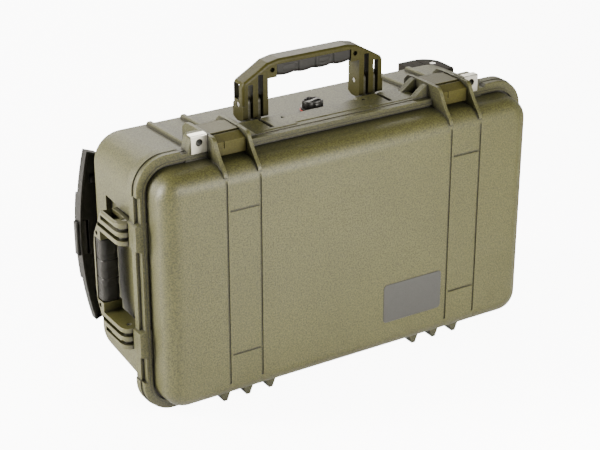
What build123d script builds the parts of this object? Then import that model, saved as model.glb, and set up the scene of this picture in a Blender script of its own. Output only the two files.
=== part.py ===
from build123d import *

import os
from math import cos, radians, sin, tan

# Wheeled carry-on hard case for a laptop: moulded shells, latches, handles, trolley and wheels.
#
# Frame: X along the case, Y from the lid (front) to the back, Z up. Z = 0 is the tips of the feet
# on the hinge side, Y = 0 is half the overall depth and X = 0 is half the case's length.
# All sizes are in millimetres.

# ---- case ---------------------------------------------------------------------------------
OVERALL_DEPTH = 229.0
MID_Z = 165.0
DRAFT = 3.0
WALL = 4.5
LID_DEPTH = 48.5
LID_HALF_LENGTH = 256.5
LID_HALF_HEIGHT = 148.0
LID_CORNER = 29.0
LID_EDGE_ROUND = 22.0
BASE_DEPTH = 152.5
BASE_HALF_LENGTH = 263.5
BASE_HALF_HEIGHT = 152.0
BASE_CORNER = 44.0
BASE_EDGE_ROUND = 35.0
RUNNING_GAP = 0.4
OVERLAP = 1.0
OVERCUT = 5.0
SOFT_GAP = 0.5

FRONT_Y = -OVERALL_DEPTH / 2
PARTING_Y = FRONT_Y + LID_DEPTH
BACK_Y = PARTING_Y + BASE_DEPTH
SHELL_GAP = 0.3
SLOPE = tan(radians(DRAFT))
BASE_TOP_Z = MID_Z + BASE_HALF_HEIGHT

# ---- rim flanges --------------------------------------------------------------------------
LID_FLANGE_HALF_LENGTH = 268.5
LID_FLANGE_HALF_HEIGHT = 161.0
LID_FLANGE_THICKNESS = 8.5
FLANGE_CORNER = 39.0
BASE_FLANGE_REACH = 1.5
BASE_FLANGE_THICKNESS = 12.0
BASE_FLANGE_BEVEL = 1.2
TOP_STEP = 3.5
TOP_STEP_X = 213.0
SHOULDER_RUN = 3.0
RIM_BOTTOM_Z = 5.0
LID_FLANGE_BEVEL = 1.0
LIP_GROOVE = 2.2
LIP_HEIGHT = 1.0
END_CUTBACK = 4.0
BASE_END_PROUD = 4.0
END_CUTBACK_HALF = 117.5
END_BUMP_REACH = 3.0
END_BUMP_OFFSET = 67.5
END_BUMP_WIDTH = 30.0

# ---- seal ---------------------------------------------------------------------------------
SEAL_WIDTH = 4.0
SEAL_HEIGHT = 3.2
SEAL_INSET = 2.6
SEAL_SIDE_GAP = 0.3

# ---- hinge --------------------------------------------------------------------------------
HINGE_Z = 4.6
HINGE_RADIUS = 4.2
HINGE_PIN_RADIUS = 1.6
HINGE_PIN_GAP = 0.05
HINGE_START = 94.0
KNUCKLE_LENGTH = 17.0
KNUCKLE_COUNT = 5
KNUCKLE_GAP = 0.4
KNUCKLE_WEB = 6.5

# ---- feet ---------------------------------------------------------------------------------
TOOTH_FIRST = 106.0
TOOTH_PITCH = 31.5
TOOTH_COUNT = 3
TOOTH_ROOT_WIDTH = 20.0
TOOTH_TIP_WIDTH = 5.0
LID_TOOTH_START = 27.0
LID_TOOTH_LENGTH = 17.0
BASE_TOOTH_START = 14.0
BASE_TOOTH_LENGTH = 120.0

# ---- lid grooves --------------------------------------------------------------------------
GROOVE_INNER_X = 133.0
GROOVE_OUTER_X = 176.5
GROOVE_WIDTH = 3.0
GROOVE_DEPTH = 1.4
GROOVE_UPPER_Z = 260.0
GROOVE_LOWER_Z = 77.0
GROOVE_END_GAP = 4.0
GROOVE_TOP_RISE = 8.0

# ---- latch bays ---------------------------------------------------------------------------
RIB_WIDTH = 4.5
RIB_TOP_Z = 340.0
RIB_TAIL_FALL = 1.0
LATCH_SIDE_GAP = 0.6
LATCH_PIVOT_BACK = 31.5
LATCH_PIVOT_Z = 328.0
LATCH_PIN_RADIUS = 2.5
LATCH_PIN_GAP = 0.05
LATCH_EYE_RADIUS = 6.0
LID_BROW_BACK = 22.0
LID_BROW_DROP = 9.0
LID_RIB_FLAT = 16.0
LID_CHIN_BACK = 6.0
LID_CHIN_DROP = 3.0
LID_FADE_BACK = 0.8
LID_FADE_RISE = 10.0
LID_RIB_ROOT = 2.0
CLAW_BACK = 39.5
CLAW_TOP_BACK_Z = 334.0
CLAW_TOP_Z = 338.5
CLAW_ARM_BOTTOM_Z = 322.0
CLAW_NOSE_Z = 318.0
CLAW_NOSE_LENGTH = 4.0
LEVER_FRONT = 27.5
LEVER_BOTTOM_Z = 316.5
LEVER_BEVEL_Z = 332.5
LEVER_WALL = 2.8
LEVER_PIVOT_FRONT = 6.5
LEVER_PIVOT_Z = 331.0
LEVER_PIN_RADIUS = 1.5
LEVER_PIN_GAP = 0.04
LEVER_EYE_RADIUS = 6.0
CLAW_EYE_RADIUS = 3.4
CLAW_OVERHANG = 2.5
COVER_ANGLE = 65.0
LEVER_NOTCH_WIDTH = 1.2
LEVER_NOTCH_INSET = 9.5
LEVER_NOTCH_BELOW = 8.0
LEVER_NOTCH_ABOVE = 2.0

# ---- padlock tabs -------------------------------------------------------------------------
PADLOCK_X = 189.0
PADLOCK_Z = 333.0
PADLOCK_HOLE_RADIUS = 4.5
TAB_TOP_Z = 340.8
TAB_TOP_WIDTH = 20.0
TAB_THICKNESS = 8.5
TAB_ROOT = 2.0
TAB_FOOT_SPREAD = 8.0
TAB_CORNER = 3.0
PLATE_WIDTH = 20.0
PLATE_BOTTOM_Z = 320.5
PLATE_THICKNESS = 1.2

# ---- top of the base ----------------------------------------------------------------------
PLATFORM_RISE = 7.0
PLATFORM_INNER_X = 50.0
PLATFORM_OUTER_X = 122.0
PLATFORM_START = 2.0
PLATFORM_BACK = 43.0
PLATFORM_BEVEL = 2.5
PLATFORM_ROOT = 12.0
BRIDGE_START = 8.0
BRIDGE_VALVE_GAP = 2.5
PLATFORM_SLOT_X = 83.0
PLATFORM_SLOT_WIDTH = 5.0
PLATFORM_SLOT_START = 9.0
PLATFORM_SLOT_LENGTH = 33.0
PLATFORM_SLOT_DEPTH = 5.0
PIT_X = 57.0
PIT_BACK = 30.0
PIT_RADIUS = 3.5
PIT_DEPTH = 2.5
GUSSET_REACH = 24.0
GUSSET_THICKNESS = 8.0
GUSSET_BACK_OFFSET = 26.0
GUSSET_ROOT = 8.0
GUSSET_KNEE = 6.0
GUSSET_FALL = 1.5
TAIL_BACK = 50.0
TAIL_ROUND = 3.0
RIDGE_WIDTH = 6.5
RIDGE_HEIGHT = 5.0
RIDGE_LENGTH = 120.0
OUTER_RIDGE_X = 186.0
INNER_RIDGE_X = 141.0
INNER_RIDGE_START = 51.0
EAR_BACK_WIDTH = 14.0

# ---- folding handles ----------------------------------------------------------------------
HANDLE_THICKNESS = 24.0
HANDLE_FOOT_DROP = 8.0
HANDLE_PIN_RADIUS = 3.0
HANDLE_PIN_GAP = 0.06
HANDLE_BAND = 6.0
LEG_STRIPS = 5
SLOT_MARGIN = 9.0
SLOT_STEP = 10.0
WINDOW_FOOT = 6.0
WINDOW_DROP = 25.0
THROAT_REACH = 12.0
THROAT_HOLE_RADIUS = 3.0
BOW_ROUND = 3.5
# inset from the leg's outer face and drop from the top, from the leg to the band
BOW_STEPS = ((0.0, 26.0), (2.4, 22.0), (20.0, 12.0), (35.0, 3.0), (50.0, 0.0))
EAR_GAP = 0.5
GRIP_DEPTH = 21.5
GRIP_THICKNESS = 22.0
GRIP_ROUND = 5.0
GRIP_WAVE = 1.6
GRIP_WAVES = 4

TOP_PIVOT_BACK = 62.0
TOP_PIVOT_RISE = 21.0
TOP_LEG_INNER = 64.0
TOP_LEG_OUTER = 98.4
TOP_HANDLE_HEIGHT = 50.5

SIDE_PIVOT_BACK = 23.5
SIDE_PIVOT_OUT = 7.7
SIDE_LEG_INNER = 53.0
SIDE_LEG_OUTER = 80.0
SIDE_HANDLE_HEIGHT = 63.0
SIDE_HANDLE_THICKNESS = 24.0
RECESS_FLOOR = 12.0
RECESS_MARGIN = 2.0

# ---- name plate ---------------------------------------------------------------------------
NAME_PLATE_X = 82.0
NAME_PLATE_Z = 84.5
NAME_PLATE_LENGTH = 86.0
NAME_PLATE_HEIGHT = 51.5
NAME_PLATE_CORNER = 5.0
NAME_PLATE_THICKNESS = 1.0
NAME_PLATE_RECESS = 0.6

# ---- pressure valve -----------------------------------------------------------------------
VALVE_BACK = 54.0
VALVE_RADIUS = 15.5
VALVE_FLANGE_HEIGHT = 2.5
VALVE_STEM_RADIUS = 7.0
VALVE_SEAL_HEIGHT = 1.6
VALVE_KNOB_RADIUS = 13.0
VALVE_KNOB_HEIGHT = 8.0
VALVE_LOBES = 6
VALVE_GAP = 0.3

# ---- trolley ------------------------------------------------------------------------------
TUBE_SPACING = 150.0
OUTER_TUBE_RADIUS = 8.5
TUBE_WALL = 1.0
TUBE_GAP = 0.25
TUBE_SINK = 9.5
OUTER_TUBE_LENGTH = 430.0
STAGE_SHORTER = 6.0
BED_HEIGHT = 2.0
BLOCK_REACH = 12.0
BLOCK_CLAMP = 14.0
BLOCK_WEB = 5.0
SCREW_INSET = 24.0
SKID_CLEARANCE = 16.0
SKID_INSET = 20.0
SKID_WIDTH = 12.0
SKID_HEIGHT = 22.0
BED_HALF_HEIGHT = TUBE_SPACING / 2 + SKID_CLEARANCE + SKID_WIDTH
GUIDE_LENGTH = 18.0
GUIDE_X = -236.0
GUIDE_HEIGHT = 19.5
END_BRACKET_LENGTH = 16.0
TROLLEY_GRIP_HALF = 113.0
TROLLEY_GRIP_END_X = -252.0
TROLLEY_GRIP_MID_X = -266.0
TROLLEY_GRIP_DEPTH = 12.0
TROLLEY_GRIP_MID_DEPTH = 17.0
TROLLEY_GRIP_MID_HALF = 57.0
TROLLEY_GRIP_FRONT = 3.0
TROLLEY_GRIP_CORNER = 6.0
TROLLEY_GRIP_SOCKET = 12.0
TROLLEY_GRIP_GAP = 1.0
TROLLEY_GRIP_RIM = 2.5
TROLLEY_GRIP_HOLLOW = 5.0
BUTTON_LENGTH = 44.0
BUTTON_WIDTH = 9.0
BUTTON_PROUD = 3.5
BUTTON_DEPTH = 10.0
BUTTON_TRAVEL = 3.0
BUTTON_GAP = 0.3

# ---- wheels -------------------------------------------------------------------------------
WHEEL_X = 253.5
WHEEL_RADIUS = 23.5
WHEEL_WIDTH = 22.0
TYRE_THICKNESS = 6.0
AXLE_RADIUS = 4.0
AXLE_GAP = 0.03
BEARING_RADIUS = 9.5
BEARING_WIDTH = 7.0
HOUSING_X = 213.5
HOUSING_LENGTH = 53.0
HOUSING_DEPTH = 53.0
HOUSING_ROUND = 27.0
HOUSING_OUTER_Z = 132.5
HOUSING_WALL = 4.0
HOUSING_SEAM = 1.2
WHEEL_SIDE_GAP = 3.0
POCKET_GAP = 1.0

# ---- fasteners and foam -------------------------------------------------------------------
SCREW_RADIUS = 2.0
SCREW_HEAD_RADIUS = 4.0
SCREW_HEAD_HEIGHT = 2.2
SCREW_LENGTH = 8.0
FOAM_FLOOR = 69.0
LAPTOP_LENGTH = 370.0
LAPTOP_HEIGHT = 260.0
LAPTOP_DEPTH = 46.0
FINGER_WIDTH = 60.0
FINGER_REACH = 24.0
LID_FOAM_DEPTH = 25.0

SIDES = (-1, 1)
BACKWARD = Plane(origin=(0, PARTING_Y, MID_Z), x_dir=(-1, 0, 0), z_dir=(0, 1, 0))
FORWARD = Plane(origin=(0, PARTING_Y, MID_Z), x_dir=(1, 0, 0), z_dir=(0, -1, 0))
LATCH_X = (GROOVE_INNER_X + GROOVE_OUTER_X) / 2
BAY_WIDTH = GROOVE_OUTER_X - GROOVE_INNER_X - RIB_WIDTH
LATCH_WIDTH = BAY_WIDTH - 2 * LATCH_SIDE_GAP
PLATFORM_TOP_Z = BASE_TOP_Z + PLATFORM_RISE
TOP_PIVOT_Z = BASE_TOP_Z + TOP_PIVOT_RISE


# ---- helpers ------------------------------------------------------------------------------
def box(x0, x1, y0, y1, z0, z1):
    """Block between two corners."""
    centre = ((x0 + x1) / 2, (y0 + y1) / 2, (z0 + z1) / 2)
    return Pos(*centre) * Box(abs(x1 - x0), abs(y1 - y0), abs(z1 - z0))


def drafted_block(plane, half_length, half_height, corner, depth, edge_round):
    """Rounded block that narrows with the mould's draft and has a rounded far edge."""
    block = extrude(plane * RectangleRounded(2 * half_length, 2 * half_height, corner), depth, taper=DRAFT)
    far_face = block.faces().sort_by(Axis(plane.origin, plane.z_dir))[-1]
    return fillet(far_face.edges(), edge_round)


def slab(plane, half_length, half_height, corner, depth):
    """Rounded plate that stands on the given plane."""
    return extrude(plane * RectangleRounded(2 * half_length, 2 * half_height, corner), depth)


def prism(plane, points, depth):
    """Block with a polygonal outline, standing on a plane."""
    face = make_face(plane * Polyline(*points, close=True))
    return extrude(face, depth, dir=plane.z_dir)


def side_profile(points, x_centre, width):
    """Block whose outline is given in Y and Z, centred on x_centre."""
    return prism(Plane.YZ.offset(x_centre - width / 2), points, width)


def front_profile(points, y0, y1):
    """Block whose outline is given in X and Z, between two Y planes."""
    return prism(Plane.XZ.offset(-y1), points, y1 - y0)


def rod_x(x0, x1, y, z, radius):
    """Cylinder along X."""
    return Pos((x0 + x1) / 2, y, z) * Rot(0, 90, 0) * Cylinder(radius, abs(x1 - x0))


def rod_y(x, y0, y1, z, radius):
    """Cylinder along Y."""
    return Pos(x, (y0 + y1) / 2, z) * Rot(90, 0, 0) * Cylinder(radius, abs(y1 - y0))


def rod_z(x, y, z0, z1, radius):
    """Cylinder along Z."""
    return Pos(x, y, (z0 + z1) / 2) * Cylinder(radius, abs(z1 - z0))


def mirror_x(shape):
    """The same shape on the other side of the case's middle."""
    return mirror(shape, about=Plane.YZ)


def base_top_z(back):
    """Height of the base's upper wall at a distance behind the parting plane."""
    return MID_Z + BASE_HALF_HEIGHT - back * SLOPE


def base_bottom_z(back):
    """Height of the base's lower wall at a distance behind the parting plane."""
    return MID_Z - BASE_HALF_HEIGHT + back * SLOPE


def screw(x, y, z, axis_rotation):
    """Pan-head screw with its head's underside at the given place, shank along local -Z."""
    shank = Pos(0, 0, -SCREW_LENGTH / 2) * Cylinder(SCREW_RADIUS, SCREW_LENGTH)
    head = Pos(0, 0, SCREW_HEAD_HEIGHT / 2) * Cylinder(SCREW_HEAD_RADIUS, SCREW_HEAD_HEIGHT)
    head = fillet(head.edges().group_by(Axis.Z)[-1], SCREW_HEAD_HEIGHT / 3)
    return Pos(x, y, z) * axis_rotation * (shank + head)


# ---- flanges and hinge --------------------------------------------------------------------
def flange_cut(y0, y1, setback):
    """Blocks that set the flange's ends back between the corners, within two Y planes."""
    cut_face = LID_FLANGE_HALF_LENGTH - setback
    return [box(side * cut_face, 2 * side * cut_face, y0, y1, MID_Z - END_CUTBACK_HALF,
                MID_Z + END_CUTBACK_HALF)
            for side in SIDES]


def top_step(reach):
    """Blocks that lower the flange's top between the corners."""
    top_z = MID_Z + LID_FLANGE_HALF_HEIGHT + reach
    points = ((-TOP_STEP_X, top_z + TOP_STEP), (-TOP_STEP_X, top_z),
              (SHOULDER_RUN - TOP_STEP_X, top_z - TOP_STEP),
              (TOP_STEP_X - SHOULDER_RUN, top_z - TOP_STEP), (TOP_STEP_X, top_z),
              (TOP_STEP_X, top_z + TOP_STEP))
    return front_profile(points, FRONT_Y, BACK_Y)


def rim_trim():
    """The flange is flat along the hinge side, so that the lid swings clear of the base."""
    return box(-2 * LID_FLANGE_HALF_LENGTH, 2 * LID_FLANGE_HALF_LENGTH, FRONT_Y, BACK_Y, -HINGE_Z,
               RIM_BOTTOM_Z)


def flange_bumps(y0, y1, reach):
    """Short steps of the flange beside the side handle's arms, on both ends."""
    bumps = []
    for side in SIDES:
        for level in SIDES:
            middle = MID_Z + level * END_BUMP_OFFSET
            half = END_BUMP_WIDTH / 2
            face = side * (LID_FLANGE_HALF_LENGTH + reach)
            foot = side * (LID_FLANGE_HALF_LENGTH - END_CUTBACK)
            root = side * LID_HALF_LENGTH
            points = ((root, middle - half - SHOULDER_RUN), (foot, middle - half - SHOULDER_RUN),
                      (face, middle - half), (face, middle + half), (foot, middle + half + SHOULDER_RUN),
                      (root, middle + half + SHOULDER_RUN))
            bumps.append(front_profile(points, y0, y1))
    return bumps


def knuckle_spans(own):
    """X ranges of one leaf's knuckles on the right-hand side; own is 0 for the base, 1 for the lid."""
    spans = []
    for index in range(KNUCKLE_COUNT):
        if index % 2 == own:
            start = HINGE_START + index * KNUCKLE_LENGTH
            spans.append((start + KNUCKLE_GAP / 2, start + KNUCKLE_LENGTH - KNUCKLE_GAP / 2))
    return spans


def hinge_leaf(own, direction):
    """Knuckles with their webs; direction is +1 towards the base and -1 towards the lid."""
    leaf = []
    for x0, x1 in knuckle_spans(own):
        for side in SIDES:
            leaf.append(rod_x(side * x0, side * x1, PARTING_Y, HINGE_Z, HINGE_RADIUS))
            leaf.append(box(side * x0, side * x1, PARTING_Y + direction * SHELL_GAP / 2,
                            PARTING_Y + direction * KNUCKLE_WEB, HINGE_Z, HINGE_Z + 2 * HINGE_RADIUS))
    return leaf


def hinge_clearance(own):
    """Room for the other leaf's knuckles, and the bore for the pin."""
    room = []
    hinge_end = HINGE_START + KNUCKLE_COUNT * KNUCKLE_LENGTH
    for side in SIDES:
        for x0, x1 in knuckle_spans(1 - own):
            room.append(rod_x(side * (x0 - KNUCKLE_GAP), side * (x1 + KNUCKLE_GAP), PARTING_Y, HINGE_Z,
                              HINGE_RADIUS + RUNNING_GAP))
        room.append(rod_x(side * HINGE_START, side * hinge_end, PARTING_Y, HINGE_Z,
                          HINGE_PIN_RADIUS + HINGE_PIN_GAP))
    return room


def hinge_bay():
    """The flange is set back above the hinge on both sides."""
    bays = []
    hinge_end = HINGE_START + KNUCKLE_COUNT * KNUCKLE_LENGTH
    for side in SIDES:
        bays.append(box(side * (HINGE_START - RUNNING_GAP), side * (hinge_end + RUNNING_GAP),
                        PARTING_Y - LID_FLANGE_THICKNESS - WALL, PARTING_Y + BASE_FLANGE_THICKNESS + WALL,
                        HINGE_Z - 2 * HINGE_RADIUS, HINGE_Z + HINGE_RADIUS + RUNNING_GAP))
    return bays


def teeth(y0, length, root_z):
    """V-shaped feet under the hinge bands, flat at the tips, on the plane Z = 0."""
    row = []
    for side in SIDES:
        for index in range(TOOTH_COUNT):
            x = side * (TOOTH_FIRST + index * TOOTH_PITCH)
            points = ((x - TOOTH_TIP_WIDTH / 2, 0), (x + TOOTH_TIP_WIDTH / 2, 0),
                      (x + TOOTH_ROOT_WIDTH / 2, root_z), (x - TOOTH_ROOT_WIDTH / 2, root_z))
            row.append(front_profile(points, y0, y0 + length))
    return row


# ---- latch ribs, padlock tabs and platforms ------------------------------------------------
def rib_profile_base():
    """Side outline of a latch rib on the base, from the parting plane to its tail."""
    floor_z = MID_Z + BASE_HALF_HEIGHT - BASE_CORNER / 2
    return ((PARTING_Y + SHELL_GAP / 2, floor_z), (PARTING_Y + SHELL_GAP / 2, RIB_TOP_Z),
            (PARTING_Y + LATCH_PIVOT_BACK, RIB_TOP_Z - RIB_TAIL_FALL),
            (PARTING_Y + CLAW_BACK + TAIL_ROUND, RIB_TOP_Z - 2 * RIB_TAIL_FALL),
            (PARTING_Y + TAIL_BACK, RIB_TOP_Z - 3 * TAIL_ROUND), (PARTING_Y + TAIL_BACK, floor_z))


def base_rib(x):
    """Latch rib on the base with a rounded tail."""
    rib = side_profile(rib_profile_base(), x, RIB_WIDTH)
    tail = rib.edges().filter_by(Axis.X).group_by(Axis.Z)[-3:]
    return fillet([edge for group in tail for edge in group
                   if edge.center().Y > PARTING_Y + LATCH_PIVOT_BACK],
                  TAIL_ROUND)


def base_ridge(x, start):
    """Low stiffening ridge over the base's top, from its start to the back edge."""
    points = ((PARTING_Y + start, base_top_z(0) - WALL),
              (PARTING_Y + start, base_top_z(start) + RIDGE_HEIGHT),
              (PARTING_Y + RIDGE_LENGTH, base_top_z(RIDGE_LENGTH) + RIDGE_HEIGHT),
              (PARTING_Y + RIDGE_LENGTH + RIDGE_HEIGHT, base_top_z(RIDGE_LENGTH) - WALL))
    ridge = side_profile(points, x, RIDGE_WIDTH)
    levels = ridge.edges().group_by(Axis.Z)
    return chamfer(levels[-2] + levels[-1], RIDGE_HEIGHT / 4)


def lid_rib(x):
    """Latch rib on the lid, which runs over the front edge and fades into the groove."""
    root_z = MID_Z + LID_HALF_HEIGHT - LID_EDGE_ROUND
    start = (PARTING_Y - SHELL_GAP / 2, RIB_TOP_Z)
    shoulder = (PARTING_Y - LID_RIB_FLAT, RIB_TOP_Z)
    brow = (FRONT_Y + LID_BROW_BACK, RIB_TOP_Z - LID_BROW_DROP)
    chin = (FRONT_Y + LID_CHIN_BACK, MID_Z + LID_HALF_HEIGHT - LID_CHIN_DROP)
    fade = (FRONT_Y + LID_FADE_BACK, root_z + LID_FADE_RISE)
    with BuildPart() as rib:
        with BuildSketch(Plane.YZ.offset(x - RIB_WIDTH / 2)):
            with BuildLine():
                Line(start, shoulder)
                Spline(shoulder, brow, chin, fade, tangents=((-1, 0), (-0.12, -1)))
                Polyline(fade, (FRONT_Y + LID_EDGE_ROUND, root_z - LID_RIB_ROOT),
                         (start[0], root_z - LID_RIB_ROOT), start)
            make_face()
        extrude(amount=RIB_WIDTH)
    return rib.part


def padlock_tab(y0, y1):
    """Upright tab beside the latch with sloping outer side, between two Y planes."""
    root_z = MID_Z + LID_HALF_HEIGHT - TAB_ROOT
    inner = GROOVE_OUTER_X
    outer = PADLOCK_X + TAB_TOP_WIDTH / 2
    points = ((inner, root_z), (outer + TAB_FOOT_SPREAD, root_z),
              (outer + TAB_CORNER, LID_FLANGE_HALF_HEIGHT + MID_Z),
              (outer, TAB_TOP_Z - TAB_CORNER), (outer - TAB_CORNER, TAB_TOP_Z), (inner, TAB_TOP_Z))
    tab = front_profile(points, y0, y1)
    return [tab, mirror_x(tab)]


def padlock_bores():
    """Holes that a padlock's shackle passes through."""
    return [rod_y(side * PADLOCK_X, PARTING_Y - LID_DEPTH, PARTING_Y + LID_DEPTH, PADLOCK_Z,
                  PADLOCK_HOLE_RADIUS)
            for side in SIDES]


def gusset(y0, thickness):
    """Wedge between the inner latch rib and the platform."""
    root_z = BASE_TOP_Z - GUSSET_ROOT
    points = ((GROOVE_INNER_X, root_z), (GROOVE_INNER_X, RIB_TOP_Z - GUSSET_FALL),
              (GROOVE_INNER_X - GUSSET_KNEE, RIB_TOP_Z - 2 * GUSSET_FALL),
              (GROOVE_INNER_X - GUSSET_REACH, PLATFORM_TOP_Z - RIB_TAIL_FALL),
              (GROOVE_INNER_X - GUSSET_REACH, root_z))
    wedge = front_profile(points, y0, y0 + thickness)
    return [wedge, mirror_x(wedge)]


def base_bay_notch():
    """The base's flange is low between the latch ribs too, under the claw."""
    return [box(side * LATCH_X - BAY_WIDTH / 2, side * LATCH_X + BAY_WIDTH / 2, PARTING_Y,
                PARTING_Y + TAIL_BACK,
                BASE_TOP_Z + RUNNING_GAP, RIB_TOP_Z + OVERCUT) for side in SIDES]


def platforms():
    """Raised pads in front of the top handle's feet, and the bridge between them before the valve."""
    root_z = BASE_TOP_Z - PLATFORM_ROOT
    pads = []
    for side in SIDES:
        pad = box(side * PLATFORM_INNER_X, side * PLATFORM_OUTER_X, PARTING_Y + PLATFORM_START,
                  PARTING_Y + PLATFORM_BACK, root_z, PLATFORM_TOP_Z)
        pads.append(chamfer(pad.edges().group_by(Axis.Z)[-1], PLATFORM_BEVEL))
    bridge_back = VALVE_BACK - VALVE_RADIUS - BRIDGE_VALVE_GAP
    bridge_half = PLATFORM_INNER_X + 2 * PLATFORM_BEVEL
    bridge = box(-bridge_half, bridge_half, PARTING_Y + BRIDGE_START, PARTING_Y + bridge_back, root_z,
                 PLATFORM_TOP_Z)
    long_edges = bridge.edges().group_by(Axis.Z)[-1].filter_by(Axis.X)
    return [*pads, chamfer(long_edges, PLATFORM_BEVEL / 2)]


def platform_slots():
    """Slots that run from the handle's feet towards the rim, and the small triangular pits."""
    cuts = []
    start = PARTING_Y + PLATFORM_SLOT_START
    for side in SIDES:
        x = side * PLATFORM_SLOT_X
        cuts.append(box(x - PLATFORM_SLOT_WIDTH / 2, x + PLATFORM_SLOT_WIDTH / 2, start,
                        start + PLATFORM_SLOT_LENGTH, PLATFORM_TOP_Z - PLATFORM_SLOT_DEPTH,
                        PLATFORM_TOP_Z + OVERCUT))
    return cuts


def triangle_pits():
    """Small triangular pits in the platforms."""
    pits = []
    for side in SIDES:
        points = [(side * PIT_X + PIT_RADIUS * cos(angle), PARTING_Y + PIT_BACK + PIT_RADIUS * sin(angle))
                  for angle in (radians(90), radians(210), radians(330))]
        pits.append(prism(Plane.XY.offset(PLATFORM_TOP_Z - PIT_DEPTH), points, 2 * PIT_DEPTH))
    return pits


# ---- base shell ---------------------------------------------------------------------------
def side_pivot_x():
    """X of the side handle's pin, outside the left end wall."""
    return -(BASE_HALF_LENGTH - SIDE_PIVOT_BACK * SLOPE + SIDE_PIVOT_OUT)


def end_recess(growth):
    """Pocket behind the folded side handle; growth widens it into the wall around it."""
    y0 = PARTING_Y + SIDE_PIVOT_BACK - SIDE_HANDLE_THICKNESS / 2 - RECESS_MARGIN
    y1 = PARTING_Y + SIDE_PIVOT_BACK + SIDE_HANDLE_HEIGHT + 4 * RECESS_MARGIN
    floor_x = -(BASE_HALF_LENGTH - RECESS_FLOOR)
    half = SIDE_LEG_OUTER + RECESS_MARGIN
    return box(floor_x + growth, 2 * floor_x, y0 - growth, y1 + growth, MID_Z - half - growth,
               MID_Z + half + growth)


def wheel_pocket(level, growth):
    """Corner pocket that takes a wheel housing; level is +1 for the upper one."""
    outer_z = HOUSING_OUTER_Z + POCKET_GAP + growth
    inner_z = HOUSING_OUTER_Z - housing_height() - POCKET_GAP - growth
    y0 = OVERALL_DEPTH / 2 - HOUSING_DEPTH - growth
    return box(HOUSING_X - growth, HOUSING_X + 2 * HOUSING_LENGTH, y0, y0 + 3 * HOUSING_DEPTH,
               MID_Z + level * inner_z, MID_Z + level * outer_z)


def trolley_bed():
    """Flat bed and two skids on the back, with the trolley's tubes between the skids."""
    bed_back = BACK_Y + BED_HEIGHT
    bed_end = GUIDE_X + GUIDE_LENGTH + OUTER_TUBE_LENGTH + END_BRACKET_LENGTH / 2
    pieces = [box(GUIDE_X - 2.0, bed_end, BACK_Y - BASE_EDGE_ROUND, bed_back, MID_Z - BED_HALF_HEIGHT,
                  MID_Z + BED_HALF_HEIGHT)]
    for level in SIDES:
        skid = box(GUIDE_X + SKID_INSET, bed_end - SKID_INSET, BACK_Y - WALL, bed_back + SKID_HEIGHT,
                   MID_Z + level * (BED_HALF_HEIGHT - SKID_WIDTH), MID_Z + level * BED_HALF_HEIGHT)
        skid = fillet(skid.edges().filter_by(Axis.Z), SKID_WIDTH / 2)
        pieces.append(skid)
    return pieces


def handle_ears():
    """Upright ears that carry the top handle's pins."""
    ears = []
    pivot_y = PARTING_Y + TOP_PIVOT_BACK
    for side in SIDES:
        for near, far in tine_slots(TOP_LEG_INNER, TOP_LEG_OUTER):
            x0 = side * (near + EAR_GAP)
            x1 = side * (far - EAR_GAP)
            half = EAR_BACK_WIDTH / 2
            ears.append(box(x0, x1, pivot_y - half, pivot_y + half, base_top_z(TOP_PIVOT_BACK) - 4.0,
                            TOP_PIVOT_Z))
            ears.append(rod_x(x0, x1, pivot_y, TOP_PIVOT_Z, half))
    return ears


def side_ears():
    """Ears on the left end wall that carry the side handle's pins."""
    ears = []
    pivot_y = PARTING_Y + SIDE_PIVOT_BACK
    for level in SIDES:
        for near, far in tine_slots(SIDE_LEG_INNER, SIDE_LEG_OUTER):
            z0 = MID_Z + level * (near + EAR_GAP)
            z1 = MID_Z + level * (far - EAR_GAP)
            half = EAR_BACK_WIDTH / 2
            ears.append(box(side_pivot_x(), -(BASE_HALF_LENGTH - RECESS_FLOOR - 1.0), pivot_y - half,
                            pivot_y + half, z0, z1))
            ears.append(rod_z(side_pivot_x(), pivot_y, z0, z1, half))
    return ears


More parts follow.
